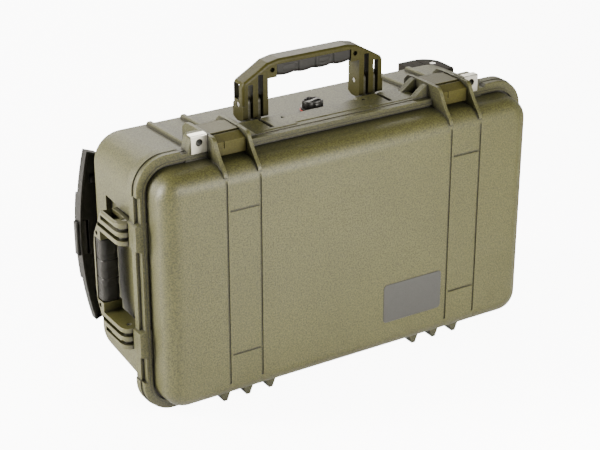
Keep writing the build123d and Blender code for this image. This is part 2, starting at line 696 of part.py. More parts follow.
def make_base_shell():
    """Deep half of the case with its rim, latch bays, ears, feet, bed and pockets."""
    outer = drafted_block(BACKWARD, BASE_HALF_LENGTH, BASE_HALF_HEIGHT, BASE_CORNER, BASE_DEPTH,
                          BASE_EDGE_ROUND)
    flange = slab(BACKWARD.offset(SHELL_GAP / 2), LID_FLANGE_HALF_LENGTH + BASE_FLANGE_REACH,
                  LID_FLANGE_HALF_HEIGHT + BASE_FLANGE_REACH / 2, FLANGE_CORNER,
                  BASE_FLANGE_THICKNESS - SHELL_GAP / 2)
    flange = chamfer(flange.edges().group_by(Axis.Y)[-1], BASE_FLANGE_BEVEL)
    flange = flange - rim_trim() - top_step(BASE_FLANGE_REACH / 2)
    flange = flange - flange_cut(PARTING_Y, BACK_Y, END_CUTBACK - BASE_END_PROUD)
    outside = outer + flange
    outside = outside - hinge_bay()
    outside = outside + flange_bumps(PARTING_Y + SHELL_GAP / 2, PARTING_Y + BASE_FLANGE_THICKNESS,
                                     END_BUMP_REACH)
    outside = outside + hinge_leaf(0, 1)
    outside = outside + teeth(PARTING_Y + BASE_TOOTH_START, BASE_TOOTH_LENGTH,
                              base_bottom_z(BASE_DEPTH) + WALL / 2)
    for x in (GROOVE_INNER_X, GROOVE_OUTER_X):
        for side in SIDES:
            outside = outside + base_rib(side * x)
    outside = outside + padlock_tab(PARTING_Y + SHELL_GAP / 2, PARTING_Y + TAB_THICKNESS)
    outside = outside + platforms()
    outside = outside + gusset(PARTING_Y + SHELL_GAP / 2, GUSSET_THICKNESS)
    outside = outside + gusset(PARTING_Y + GUSSET_BACK_OFFSET, GUSSET_THICKNESS)
    for x, start in ((OUTER_RIDGE_X, TAB_THICKNESS / 2), (INNER_RIDGE_X, INNER_RIDGE_START)):
        for side in SIDES:
            outside = outside + base_ridge(side * x, start)
    outside = outside + trolley_bed()
    outside = outside + handle_ears()
    interior = drafted_block(BACKWARD.offset(-OVERLAP), BASE_HALF_LENGTH - WALL, BASE_HALF_HEIGHT - WALL,
                             BASE_CORNER - WALL, BASE_DEPTH - WALL + OVERLAP, BASE_EDGE_ROUND - WALL)
    interior = interior - end_recess(WALL)
    for level in SIDES:
        interior = interior - wheel_pocket(level, WALL)
    shell = outside - interior
    shell = shell - end_recess(0)
    shell = shell + side_ears()
    for level in SIDES:
        shell = shell - wheel_pocket(level, 0)
    shell = shell - hinge_clearance(0)
    shell = shell - padlock_bores()
    shell = shell - platform_slots()
    latch_y = PARTING_Y + LATCH_PIVOT_BACK
    valve_y = PARTING_Y + VALVE_BACK
    cuts = [rod_z(0, valve_y, MID_Z, RIB_TOP_Z, VALVE_STEM_RADIUS + VALVE_GAP)]
    for side in SIDES:
        cuts.append(rod_x(side * (GROOVE_INNER_X - RIB_WIDTH), side * (GROOVE_OUTER_X + RIB_WIDTH), latch_y,
                          LATCH_PIVOT_Z, LATCH_PIN_RADIUS))
        cuts.append(rod_x(side * TOP_LEG_INNER, side * TOP_LEG_OUTER, PARTING_Y + TOP_PIVOT_BACK,
                          TOP_PIVOT_Z,
                          HANDLE_PIN_RADIUS))
        cuts.append(rod_z(side_pivot_x(), PARTING_Y + SIDE_PIVOT_BACK, MID_Z + side * SIDE_LEG_INNER,
                          MID_Z + side * SIDE_LEG_OUTER, HANDLE_PIN_RADIUS))
        cuts += housing_screw_holes(side)
    return shell - cuts - screw_holes() - base_bay_notch() - triangle_pits()


# ---- lid shell ----------------------------------------------------------------------------
def seal_path(growth):
    """Closed frame section that the seal follows round the rim."""
    half_length = BASE_HALF_LENGTH - SEAL_INSET
    half_height = BASE_HALF_HEIGHT - SEAL_INSET
    corner = BASE_CORNER - SEAL_INSET
    reach = SEAL_WIDTH / 2 + growth
    outer = RectangleRounded(2 * (half_length + reach), 2 * (half_height + reach), corner + reach)
    inner = RectangleRounded(2 * (half_length - reach), 2 * (half_height - reach), corner - reach)
    return outer - inner


def grooves():
    """Fine grooves over the front of the lid that frame the latch bands."""
    cuts = []
    top_z = MID_Z + LID_HALF_HEIGHT - LID_EDGE_ROUND + GROOVE_TOP_RISE
    for side in SIDES:
        for x in (GROOVE_INNER_X, GROOVE_OUTER_X):
            cuts.append(box(side * x - GROOVE_WIDTH / 2, side * x + GROOVE_WIDTH / 2, FRONT_Y - OVERLAP,
                            FRONT_Y + GROOVE_DEPTH, MID_Z - LID_HALF_HEIGHT + LID_EDGE_ROUND, top_z))
        for z in (GROOVE_LOWER_Z, GROOVE_UPPER_Z):
            inner = side * GROOVE_INNER_X
            outer = side * GROOVE_OUTER_X
            left = min(inner, outer) + GROOVE_END_GAP
            cuts.append(box(left, max(inner, outer), FRONT_Y - OVERLAP, FRONT_Y + GROOVE_DEPTH,
                            z - GROOVE_WIDTH / 2,
                            z + GROOVE_WIDTH / 2))
    return cuts


def latch_bay_notch():
    """The lid's flange is low between the latch ribs, where the claw comes down."""
    notches = []
    for side in SIDES:
        notches.append(box(side * LATCH_X - BAY_WIDTH / 2, side * LATCH_X + BAY_WIDTH / 2, FRONT_Y - OVERLAP,
                           PARTING_Y + 1.0, MID_Z + LID_HALF_HEIGHT + SOFT_GAP, RIB_TOP_Z + OVERCUT))
    return notches


def lip_slab(growth, start, depth):
    """Plate with the outline of the lid's body, larger by a growth."""
    return slab(FORWARD.offset(start), LID_HALF_LENGTH + growth, LID_HALF_HEIGHT + growth,
                LID_CORNER + growth, depth)


def add_lip(flange):
    """The flange gets a groove round the lid's body and a small bead outside the groove."""
    start = LID_FLANGE_THICKNESS / 2
    bead = lip_slab(2 * LIP_GROOVE, start, start + LIP_HEIGHT)
    return flange + bead - lip_slab(LIP_GROOVE, LID_FLANGE_THICKNESS - LIP_GROOVE, LID_FLANGE_THICKNESS)


def make_lid_shell():
    """Shallow half of the case with its flange, ribs, tabs, teeth, grooves and seal groove."""
    outer = drafted_block(FORWARD, LID_HALF_LENGTH, LID_HALF_HEIGHT, LID_CORNER, LID_DEPTH, LID_EDGE_ROUND)
    flange = slab(FORWARD.offset(SHELL_GAP / 2), LID_FLANGE_HALF_LENGTH, LID_FLANGE_HALF_HEIGHT,
                  FLANGE_CORNER,
                  LID_FLANGE_THICKNESS - SHELL_GAP / 2)
    flange = chamfer(flange.edges().group_by(Axis.Y)[0], LID_FLANGE_BEVEL) - rim_trim() - top_step(0)
    outside = add_lip(flange - flange_cut(FRONT_Y, PARTING_Y, END_CUTBACK)) + outer
    outside = outside - hinge_bay()
    flange_front = PARTING_Y - LID_FLANGE_THICKNESS
    outside = outside + flange_bumps(flange_front, PARTING_Y - SHELL_GAP / 2, END_BUMP_REACH)
    outside = outside + hinge_leaf(1, -1)
    outside = outside + teeth(FRONT_Y + LID_TOOTH_START, LID_TOOTH_LENGTH,
                              MID_Z - LID_HALF_HEIGHT + WALL / 2)
    for x in (GROOVE_INNER_X, GROOVE_OUTER_X):
        for side in SIDES:
            outside = outside + lid_rib(side * x)
    outside = outside + padlock_tab(flange_front, PARTING_Y - SHELL_GAP / 2)
    interior = drafted_block(FORWARD.offset(-OVERLAP), LID_HALF_LENGTH - WALL, LID_HALF_HEIGHT - WALL,
                             LID_CORNER - WALL,
                             LID_DEPTH - WALL + OVERLAP, LID_EDGE_ROUND - WALL)
    shell = outside - interior
    shell = shell - latch_bay_notch()
    shell = shell - grooves()
    shell = shell - hinge_clearance(1)
    shell = shell - padlock_bores()
    seal_room = extrude(FORWARD * seal_path(SEAL_SIDE_GAP), SHELL_GAP / 2 + SEAL_HEIGHT + SEAL_SIDE_GAP)
    shell = shell - seal_room
    plate_room = extrude(name_plate_plane() * name_plate_outline(RUNNING_GAP / 2), -NAME_PLATE_RECESS)
    return shell - plate_room


def name_plate_plane():
    """Plane of the lid's front face, centred on the name plate."""
    return Plane(origin=(NAME_PLATE_X, FRONT_Y, NAME_PLATE_Z), x_dir=(1, 0, 0), z_dir=(0, -1, 0))


def name_plate_outline(growth):
    """Rounded outline of the name plate."""
    return RectangleRounded(NAME_PLATE_LENGTH + 2 * growth, NAME_PLATE_HEIGHT + 2 * growth,
                            NAME_PLATE_CORNER + growth)


def make_name_plate():
    """Bare plate that sits in its recess on the lid."""
    floor = name_plate_plane().offset(-NAME_PLATE_RECESS)
    plate = extrude(floor * name_plate_outline(0), NAME_PLATE_THICKNESS)
    return chamfer(plate.edges().group_by(Axis.Y)[0], NAME_PLATE_THICKNESS / 4)


def make_lid_seal():
    """Soft seal ring in the lid's groove."""
    return extrude(FORWARD.offset(SHELL_GAP / 2) * seal_path(0), SEAL_HEIGHT)


def make_hinge_pins():
    """Stainless pins through the two rows of knuckles."""
    length = KNUCKLE_COUNT * KNUCKLE_LENGTH
    pins = [rod_x(side * (HINGE_START + 0.5), side * (HINGE_START + length - 0.5), PARTING_Y, HINGE_Z,
                  HINGE_PIN_RADIUS) for side in SIDES]
    return Compound(children=pins)


def make_padlock_plate(side):
    """Stainless plate on the lid's tab: front leaf with the hole, and a leaf folded over the top."""
    x = side * PADLOCK_X
    front = PARTING_Y - LID_FLANGE_THICKNESS
    half = PLATE_WIDTH / 2
    leaf = box(x - half, x + half, front - PLATE_THICKNESS, front, PLATE_BOTTOM_Z,
               TAB_TOP_Z + PLATE_THICKNESS)
    cap = box(x - half, x + half, front, PARTING_Y - SHELL_GAP, TAB_TOP_Z, TAB_TOP_Z + PLATE_THICKNESS)
    plate = leaf + cap
    ridge = plate.edges().filter_by(Axis.X).sort_by(lambda edge: edge.center().Y - edge.center().Z)[0]
    plate = fillet(ridge, PLATE_THICKNESS * 0.9)
    return plate - rod_y(x, front - OVERCUT, front + OVERLAP, PADLOCK_Z, PADLOCK_HOLE_RADIUS)


# ---- latches ------------------------------------------------------------------------------
def latch_frame():
    """Y of the claw's pivot, the lever's pivot and the lever's front face."""
    claw_y = PARTING_Y + LATCH_PIVOT_BACK
    lever_y = PARTING_Y - LEVER_PIVOT_FRONT
    front_y = FRONT_Y + LEVER_FRONT
    return claw_y, lever_y, front_y


def make_latch_claw(side):
    """Claw: top plate, eye round the base's pin, arm under the lever and down-turned nose."""
    claw_y, lever_y, front_y = latch_frame()
    x = side * LATCH_X
    plate_front = lever_y + CLAW_OVERHANG
    arm_root = lever_y + LEVER_EYE_RADIUS + RUNNING_GAP
    back_y = PARTING_Y + CLAW_BACK
    plate = side_profile(((plate_front, CLAW_ARM_BOTTOM_Z), (plate_front, CLAW_TOP_Z),
                          (claw_y - 4.0, CLAW_TOP_Z - 0.6),
                          (back_y, CLAW_TOP_BACK_Z), (back_y, LATCH_PIVOT_Z),
                          (claw_y + 3.0, CLAW_ARM_BOTTOM_Z)), x, LATCH_WIDTH)
    arm_width = LATCH_WIDTH - 2 * (LEVER_WALL + RUNNING_GAP)
    nose_y = front_y + LEVER_WALL + 1.0
    arm = side_profile(((arm_root + 1.0, CLAW_ARM_BOTTOM_Z), (nose_y + CLAW_NOSE_LENGTH, CLAW_ARM_BOTTOM_Z),
                        (nose_y + CLAW_NOSE_LENGTH - 1.0, CLAW_NOSE_Z), (nose_y, CLAW_NOSE_Z),
                        (nose_y, CLAW_ARM_BOTTOM_Z + 3.0), (lever_y - 3.0, LEVER_PIVOT_Z),
                        (arm_root + 1.0, LEVER_PIVOT_Z)), x, arm_width)
    plate = plate - rod_x(x - LATCH_WIDTH, x + LATCH_WIDTH, lever_y, LEVER_PIVOT_Z,
                          LEVER_EYE_RADIUS + RUNNING_GAP)
    eye = rod_x(x - arm_width / 2, x + arm_width / 2, lever_y, LEVER_PIVOT_Z, CLAW_EYE_RADIUS)
    knuckle = rod_x(x - LATCH_WIDTH / 2, x + LATCH_WIDTH / 2, claw_y, LATCH_PIVOT_Z, LATCH_EYE_RADIUS)
    claw = plate + arm + eye + knuckle
    claw = claw - rod_x(x - LATCH_WIDTH, x + LATCH_WIDTH, claw_y, LATCH_PIVOT_Z,
                        LATCH_PIN_RADIUS + LATCH_PIN_GAP)
    return claw - rod_x(x - LATCH_WIDTH, x + LATCH_WIDTH, lever_y, LEVER_PIVOT_Z, LEVER_PIN_RADIUS)


def make_latch_lever(side):
    """Lever: bevelled front block, hollow behind, that turns on the claw's arm."""
    claw_y, lever_y, front_y = latch_frame()
    x = side * LATCH_X
    top_z = LEVER_PIVOT_Z + LEVER_EYE_RADIUS
    body = side_profile(((front_y, LEVER_BOTTOM_Z), (front_y, LEVER_BEVEL_Z), (lever_y - 1.0, top_z),
                         (lever_y, top_z), (lever_y, LEVER_PIVOT_Z), (lever_y + 1.0, LEVER_BOTTOM_Z + 3.0),
                         (lever_y - 2.0, LEVER_BOTTOM_Z)), x, LATCH_WIDTH)
    body = body + rod_x(x - LATCH_WIDTH / 2, x + LATCH_WIDTH / 2, lever_y, LEVER_PIVOT_Z, LEVER_EYE_RADIUS)
    inner_width = LATCH_WIDTH - 2 * LEVER_WALL
    inner_front = front_y + LEVER_WALL
    inner_eye = CLAW_EYE_RADIUS + RUNNING_GAP
    cover = radians(COVER_ANGLE)
    outside = 2 * LEVER_EYE_RADIUS
    hollow = side_profile(((inner_front, LEVER_BOTTOM_Z - 1.0), (inner_front, LEVER_BEVEL_Z - LEVER_WALL),
                           (lever_y - inner_eye / 2, LEVER_PIVOT_Z + inner_eye),
                           (lever_y, LEVER_PIVOT_Z + inner_eye),
                           (lever_y + inner_eye * cos(cover), LEVER_PIVOT_Z + inner_eye * sin(cover)),
                           (lever_y + outside * cos(cover), LEVER_PIVOT_Z + outside * sin(cover)),
                           (lever_y + outside, LEVER_PIVOT_Z + outside * sin(cover)),
                           (lever_y + outside, LEVER_BOTTOM_Z - 1.0)), x, inner_width)
    body = body - hollow
    body = body - rod_x(x - inner_width / 2, x + inner_width / 2, lever_y, LEVER_PIVOT_Z,
                        CLAW_EYE_RADIUS + RUNNING_GAP)
    notch_x = x - LATCH_WIDTH / 2 + LEVER_NOTCH_INSET
    body = body - box(notch_x, notch_x + LEVER_NOTCH_WIDTH, front_y - OVERLAP, front_y + LEVER_NOTCH_WIDTH,
                      LEVER_BEVEL_Z - LEVER_NOTCH_BELOW, LEVER_BEVEL_Z + LEVER_NOTCH_ABOVE)
    return body - rod_x(x - LATCH_WIDTH, x + LATCH_WIDTH, lever_y, LEVER_PIVOT_Z,
                        LEVER_PIN_RADIUS + LEVER_PIN_GAP)


def make_lever_pin(side):
    """Small pin pressed through the claw's arm, on which the lever turns."""
    claw_y, lever_y, front_y = latch_frame()
    x = side * LATCH_X
    return rod_x(x - LATCH_WIDTH / 2 + 0.4, x + LATCH_WIDTH / 2 - 0.4, lever_y, LEVER_PIVOT_Z,
                 LEVER_PIN_RADIUS)


def make_latch_pins():
    """Pins through the base's ribs, one for each latch."""
    y = PARTING_Y + LATCH_PIVOT_BACK
    reach = BAY_WIDTH / 2 + RIB_WIDTH - 0.5
    pins = [rod_x(side * LATCH_X - reach, side * LATCH_X + reach, y, LATCH_PIVOT_Z, LATCH_PIN_RADIUS)
            for side in SIDES]
    return Compound(children=pins)


# ---- folding handles ----------------------------------------------------------------------
def tine_slots(inner, outer):
    """Near and far side of the two slots in a leg of five strips: tine, slot, tine, slot, tine."""
    strip = (outer - inner) / LEG_STRIPS
    return [(inner + index * strip, inner + (index + 1) * strip) for index in range(LEG_STRIPS) if index % 2]


def handle_blank(inner, outer, height, thickness, foot_drop):
    """Folding handle upright over its pins: the pin's axis is local X at Z = 0."""
    right = [(outer - inset, height - drop) for inset, drop in BOW_STEPS]
    points = [(outer, 0), *right, *[(-x, z) for x, z in reversed(right)], (-outer, 0)]
    bow = prism(Plane.XZ.offset(-thickness / 2), points, thickness)
    flat_sides = bow.faces().sort_by(Axis.Y)
    rim = flat_sides[0].edges() + flat_sides[-1].edges()
    bow = fillet([edge for edge in rim if edge.center().Z > height / LEG_STRIPS], BOW_ROUND)
    throat = inner - THROAT_REACH
    bow = bow - box(-inner, inner, -thickness, thickness, -height, height - GRIP_DEPTH)
    bow = bow - box(-throat, throat, -thickness, thickness, height - 2 * GRIP_DEPTH, height - HANDLE_BAND)
    feet = []
    for side in SIDES:
        limit = rod_x(side * inner, side * outer, 0, 0, thickness / 2 + foot_drop)
        feet.append(box(side * inner, side * outer, -thickness / 2, thickness / 2, -2 * thickness,
                        0) & limit)
    return bow + feet


def handle_frame(inner, outer, height, thickness, foot_drop):
    """Frame with forked legs, pin bores, side windows and holes beside the grip."""
    frame = handle_blank(inner, outer, height, thickness, foot_drop)
    cuts = []
    for side in SIDES:
        for index, (near, far) in enumerate(tine_slots(inner, outer)):
            top = height - HANDLE_BAND - SLOT_MARGIN - index * SLOT_STEP
            cuts.append(box(side * near, side * far, -thickness, thickness, -2 * thickness, top))
        cuts.append(rod_x(side * (inner - OVERLAP), side * (outer + OVERLAP), 0, 0,
                          HANDLE_PIN_RADIUS + HANDLE_PIN_GAP))
        cuts.append(box(side * far, side * (outer + OVERLAP), -thickness / 8, thickness * 3 / 8, WINDOW_FOOT,
                        height - WINDOW_DROP))
        cuts.append(rod_y(side * (inner - THROAT_REACH / 2), -thickness, thickness,
                          height - HANDLE_BAND - 2 * THROAT_HOLE_RADIUS, THROAT_HOLE_RADIUS))
    return frame - cuts


def grip_blank(inner, height, thickness):
    """Rubber grip under the handle's band, with finger waves along its rounded underside."""
    half_length = inner - THROAT_REACH - RUNNING_GAP
    top = height - HANDLE_BAND
    pitch = 2 * half_length / GRIP_WAVES
    low = height - GRIP_DEPTH
    with BuildPart() as grip:
        with BuildSketch(Plane.XZ.offset(-thickness / 2)):
            with BuildLine():
                Line((-half_length, top), (half_length, top))
                Line((half_length, top), (half_length, low))
                for index in range(GRIP_WAVES):
                    x1 = half_length - index * pitch
                    x0 = x1 - pitch
                    ThreePointArc((x1, low), ((x0 + x1) / 2, low - GRIP_WAVE), (x0, low))
                Line((-half_length, low), (-half_length, top))
            make_face()
        extrude(amount=thickness)
    flat_sides = grip.part.edges().group_by(Axis.Y)
    underside = [edge for edge in flat_sides[0] + flat_sides[-1] if edge.center().Z < low + GRIP_WAVE]
    return chamfer(underside, GRIP_ROUND)


def place_top(shape):
    """Move a handle from its own frame to the top of the case."""
    return Pos(0, PARTING_Y + TOP_PIVOT_BACK, TOP_PIVOT_Z) * shape


def place_side(shape):
    """Move a handle from its own frame to the left end, folded back along the wall."""
    return Pos(side_pivot_x(), PARTING_Y + SIDE_PIVOT_BACK, MID_Z) * Rot(0, 90, 0) * Rot(-90, 0, 0) * shape


def make_handle_pins(place, inner, outer):
    """Pins through one handle's legs and ears."""
    pins = [place(rod_x(side * (inner + 0.5), side * (outer - 0.5), 0, 0, HANDLE_PIN_RADIUS))
            for side in SIDES]
    return Compound(children=pins)


# ---- pressure valve -----------------------------------------------------------------------
def valve_seat_z():
    """Height of the base's upper wall under the valve."""
    return base_top_z(VALVE_BACK - VALVE_RADIUS)


def make_valve_seal():
    """Red ring under the valve's flange."""
    y = PARTING_Y + VALVE_BACK
    z = valve_seat_z()
    ring = rod_z(0, y, z, z + VALVE_SEAL_HEIGHT, VALVE_RADIUS)
    return ring - rod_z(0, y, z - OVERLAP, z + VALVE_SEAL_HEIGHT + OVERLAP, VALVE_STEM_RADIUS + VALVE_GAP)


def make_valve_body():
    """Valve body: flange on the seal, threaded stem through the wall."""
    y = PARTING_Y + VALVE_BACK
    z = valve_seat_z() + VALVE_SEAL_HEIGHT
    flange = rod_z(0, y, z, z + VALVE_FLANGE_HEIGHT, VALVE_RADIUS - 0.5)
    stem = rod_z(0, y, z - VALVE_SEAL_HEIGHT - WALL - OVERCUT, z, VALVE_STEM_RADIUS)
    spigot = rod_z(0, y, z, z + VALVE_FLANGE_HEIGHT + VALVE_KNOB_HEIGHT / 2, VALVE_STEM_RADIUS / 2)
    return flange + stem + spigot


def make_valve_knob():
    """Lobed knob that turns on the valve's spigot."""
    y = PARTING_Y + VALVE_BACK
    z = valve_seat_z() + VALVE_SEAL_HEIGHT + VALVE_FLANGE_HEIGHT + VALVE_GAP
    knob = rod_z(0, y, z, z + VALVE_KNOB_HEIGHT, VALVE_KNOB_RADIUS)
    knob = chamfer(knob.edges().group_by(Axis.Z)[-1], 1.5)
    cuts = [rod_z(0, y, z - 1.0, z + VALVE_KNOB_HEIGHT / 2 + VALVE_GAP, VALVE_STEM_RADIUS / 2 + 0.1)]
    for index in range(VALVE_LOBES):
        angle = radians(index * 360.0 / VALVE_LOBES)
        reach = VALVE_KNOB_RADIUS + 2.0
        cuts.append(rod_z(reach * cos(angle), y + reach * sin(angle), z + 1.0, z + 2 * VALVE_KNOB_HEIGHT,
                          4.0))
    return knob - cuts


# ---- trolley ------------------------------------------------------------------------------
def tube_y():
    """Y of the trolley tubes' axes, behind the bed."""
    return BACK_Y + BED_HEIGHT + TUBE_SINK


def tube_pair(x0, length, outer_radius):
    """Two round tubes along X."""
    tubes = []
    for level in SIDES:
        z = MID_Z + level * TUBE_SPACING / 2
        tube = rod_x(x0, x0 + length, tube_y(), z, outer_radius)
        tubes.append(tube - rod_x(x0 - 1.0, x0 + length + 1.0, tube_y(), z, outer_radius - TUBE_WALL))
    return tubes


def stage_radius(stage):
    """Outer radius of a stage of the trolley: 0 is the fixed one."""
    return OUTER_TUBE_RADIUS - stage * (TUBE_WALL + TUBE_GAP)


def make_trolley_tubes(stage):
    """Tubes of one stage."""
    start = GUIDE_X + stage * 1.0 if stage < 2 else grip_inner_x()
    return Compound(children=tube_pair(start, OUTER_TUBE_LENGTH - stage * STAGE_SHORTER,
                                       stage_radius(stage)))


def grip_inner_x():
    """Inner face of the stowed trolley grip."""
    return GUIDE_X - TROLLEY_GRIP_GAP


def trolley_block(x0, length, height):
    """Moulded block across both tubes, bored for them."""
    bed_back = BACK_Y + BED_HEIGHT
    reach = TUBE_SPACING / 2 + BLOCK_REACH
    clear = TUBE_SPACING / 2 - BLOCK_CLAMP
    block = box(x0, x0 + length, bed_back, bed_back + height, MID_Z - reach, MID_Z + reach)
    block = chamfer(block.edges().group_by(Axis.Y)[-1], 2.0)
    middle = box(x0 - 1.0, x0 + length + 1.0, trolley_screw_y(), bed_back + 2 * height, MID_Z - clear,
                 MID_Z + clear)
    return block - middle


def make_trolley_guide():
    """Guide at the grip's end of the tubes."""
    bores = [rod_x(GUIDE_X - 1.0, GUIDE_X + GUIDE_LENGTH + 1.0, tube_y(), MID_Z + level * TUBE_SPACING / 2,
                   OUTER_TUBE_RADIUS) for level in SIDES]
    return trolley_block(GUIDE_X, GUIDE_LENGTH, GUIDE_HEIGHT) - bores - screw_holes()


def end_bracket_x():
    """Start of the bracket that holds the tubes' far ends."""
    return GUIDE_X + OUTER_TUBE_LENGTH - END_BRACKET_LENGTH / 2


def make_trolley_end_bracket():
    """Bracket that closes the far ends of the tubes."""
    bores = [rod_x(end_bracket_x() - 1.0, GUIDE_X + OUTER_TUBE_LENGTH, tube_y(),
                   MID_Z + level * TUBE_SPACING / 2, OUTER_TUBE_RADIUS) for level in SIDES]
    return trolley_block(end_bracket_x(), END_BRACKET_LENGTH, GUIDE_HEIGHT) - bores - screw_holes()


def trolley_screw_places():
    """X and Z of the screws that hold the guide and the bracket."""
    places = []
    for x in (GUIDE_X + GUIDE_LENGTH / 2, end_bracket_x() + END_BRACKET_LENGTH / 2):
        for level in SIDES:
            places.append((x, MID_Z + level * (TUBE_SPACING / 2 - SCREW_INSET)))
    return places


def trolley_screw_y():
    """Y of the screw heads' undersides."""
    return BACK_Y + BED_HEIGHT + BLOCK_WEB


def screw_holes():
    """Holes for the trolley screws."""
    return [rod_y(x, BACK_Y - 5.0, trolley_screw_y() + 1.0, z, SCREW_RADIUS) for x,
            z in trolley_screw_places()]


def make_trolley_screws():
    """Screws through the guide and the bracket into the bed."""
    screws = [screw(x, trolley_screw_y(), z, Rot(-90, 0, 0)) for x, z in trolley_screw_places()]
    return Compound(children=screws)


def grip_outline(inset):
    """Bow outline of the trolley grip in X and Z, smaller by an inset."""
    half = TROLLEY_GRIP_HALF - inset
    end_x = TROLLEY_GRIP_END_X + inset
    inner_x = grip_inner_x() - inset
    corner = TROLLEY_GRIP_CORNER
    with BuildLine() as outline:
        ThreePointArc((end_x, MID_Z - half), (TROLLEY_GRIP_MID_X + inset, MID_Z), (end_x, MID_Z + half))
        Polyline((end_x, MID_Z + half), (inner_x, MID_Z + half - corner), (inner_x, MID_Z - half + corner),
                 (end_x, MID_Z - half))
    return outline.line


def grip_slab(inset, y0, y1):
    """Plate with the grip's outline between two Y planes."""
    plane = Plane.XZ.offset(-y1)
    return extrude(make_face(plane * grip_outline(inset)), y1 - y0, dir=plane.z_dir)


def make_trolley_grip():
    """Bow-shaped grip, hollow towards the lid, thicker in the middle, with a button window."""
    front = BACK_Y + BED_HEIGHT + TROLLEY_GRIP_FRONT
    back = front + TROLLEY_GRIP_DEPTH
    middle_back = front + TROLLEY_GRIP_MID_DEPTH
    band = box(2 * TROLLEY_GRIP_MID_X, 0, front, middle_back, MID_Z - TROLLEY_GRIP_MID_HALF,
               MID_Z + TROLLEY_GRIP_MID_HALF)
    grip = grip_slab(0, front, back) + (grip_slab(0, front, middle_back) & band)
    hollow = grip_slab(TROLLEY_GRIP_RIM, front - 1.0, front + TROLLEY_GRIP_HOLLOW)
    reach = BUTTON_LENGTH / 2 + BUTTON_GAP
    half = BUTTON_WIDTH / 2 + BUTTON_GAP
    cuts = [hollow, box(2 * TROLLEY_GRIP_MID_X, TROLLEY_GRIP_MID_X + BUTTON_DEPTH + BUTTON_TRAVEL,
                        button_y() - half,
                        button_y() + half, MID_Z - reach, MID_Z + reach)]
    for level in SIDES:
        socket = grip_inner_x() - TROLLEY_GRIP_SOCKET
        cuts.append(rod_x(socket, grip_inner_x() + 1.0, tube_y(), MID_Z + level * TUBE_SPACING / 2,
                          stage_radius(2)))
    return grip - cuts


def button_y():
    """Y of the release button's middle."""
    return BACK_Y + BED_HEIGHT + TROLLEY_GRIP_FRONT + TROLLEY_GRIP_MID_DEPTH / 2


def make_trolley_button():
    """Release button in the grip's outer edge."""
    y = button_y()
    x0 = TROLLEY_GRIP_MID_X - BUTTON_PROUD
    button = box(x0, TROLLEY_GRIP_MID_X + BUTTON_DEPTH - BUTTON_GAP, y - BUTTON_WIDTH / 2,
                 y + BUTTON_WIDTH / 2,
                 MID_Z - BUTTON_LENGTH / 2, MID_Z + BUTTON_LENGTH / 2)
    return fillet(button.edges().group_by(Axis.X)[0], 1.5)


# ---- wheels -------------------------------------------------------------------------------
def housing_height():
    """Height of a wheel housing along the axle."""
    return WHEEL_WIDTH + 2 * (WHEEL_SIDE_GAP + HOUSING_WALL)


def wheel_centre_z(level):
    """Z of a wheel's middle plane."""
    return MID_Z + level * (HOUSING_OUTER_Z - housing_height() / 2)


def wheel_y():
    """Y of the axles: the tyres reach the overall depth."""
    return OVERALL_DEPTH / 2 - WHEEL_RADIUS


def make_wheel_housing(level):
    """Fork-shaped housing: two cheeks with a large round corner, a front wall and a side wall."""
    z0 = wheel_centre_z(level) - housing_height() / 2
    x0 = HOUSING_X + POCKET_GAP / 2
    y1 = OVERALL_DEPTH / 2
    y0 = y1 - HOUSING_DEPTH + POCKET_GAP / 2
    block = box(x0, HOUSING_X + HOUSING_LENGTH, y0, y1, z0, z0 + housing_height())
    corners = block.edges().filter_by(Axis.Z)
    outer_corner = corners.sort_by(lambda edge: edge.center().X + edge.center().Y)[-1]
    block = fillet(outer_corner, HOUSING_ROUND)
    room = box(x0 + HOUSING_WALL, HOUSING_X + 2 * HOUSING_LENGTH, y0 + HOUSING_WALL, y1 + HOUSING_DEPTH,
               z0 + HOUSING_WALL, z0 + housing_height() - HOUSING_WALL)
    seam_x = HOUSING_X + HOUSING_LENGTH / 2
    outer_face = z0 + housing_height() if level > 0 else z0
    seam = box(seam_x, seam_x + HOUSING_SEAM, y0 - 1.0, y1 + 1.0, outer_face - HOUSING_SEAM / 2,
               outer_face + HOUSING_SEAM / 2)
    bore = rod_z(WHEEL_X, wheel_y(), z0 - 1.0, z0 + housing_height() + 1.0, AXLE_RADIUS)
    return block - room - seam - bore - housing_screw_holes(level)


def housing_screw_places(level):
    """Y and Z of the screws that hold a housing in its pocket, through its front wall."""
    half = WHEEL_WIDTH / 4
    return [(HOUSING_X + HOUSING_LENGTH * share, wheel_centre_z(level) + half) for share in (1 / 4, 1 / 2)]


def housing_screw_y():
    """Y of the housing screws' head seats."""
    return OVERALL_DEPTH / 2 - HOUSING_DEPTH + POCKET_GAP / 2 + HOUSING_WALL


def housing_screw_holes(level):
    """Holes for the housing screws through its front wall and the pocket behind it."""
    y = housing_screw_y()
    return [rod_y(x, y - 2 * SCREW_LENGTH, y + 1.0, z, SCREW_RADIUS) for x, z in housing_screw_places(level)]


def make_housing_screws():
    """Screws that hold both wheel housings in the base."""
    screws = []
    for level in SIDES:
        screws += [screw(x, housing_screw_y(), z, Rot(-90, 0, 0)) for x, z in housing_screw_places(level)]
    return Compound(children=screws)


def make_axle(level):
    """Axle pressed through both cheeks."""
    half = housing_height() / 2
    z = wheel_centre_z(level)
    return rod_z(WHEEL_X, wheel_y(), z - half, z + half, AXLE_RADIUS)


def make_tyre(level):
    """Soft tread of a wheel."""
    z = wheel_centre_z(level)
    half = WHEEL_WIDTH / 2
    tyre = rod_z(WHEEL_X, wheel_y(), z - half, z + half, WHEEL_RADIUS)
    tyre = fillet(tyre.edges(), TYRE_THICKNESS / 2)
    return tyre - rod_z(WHEEL_X, wheel_y(), z - half - 1.0, z + half + 1.0, WHEEL_RADIUS - TYRE_THICKNESS)


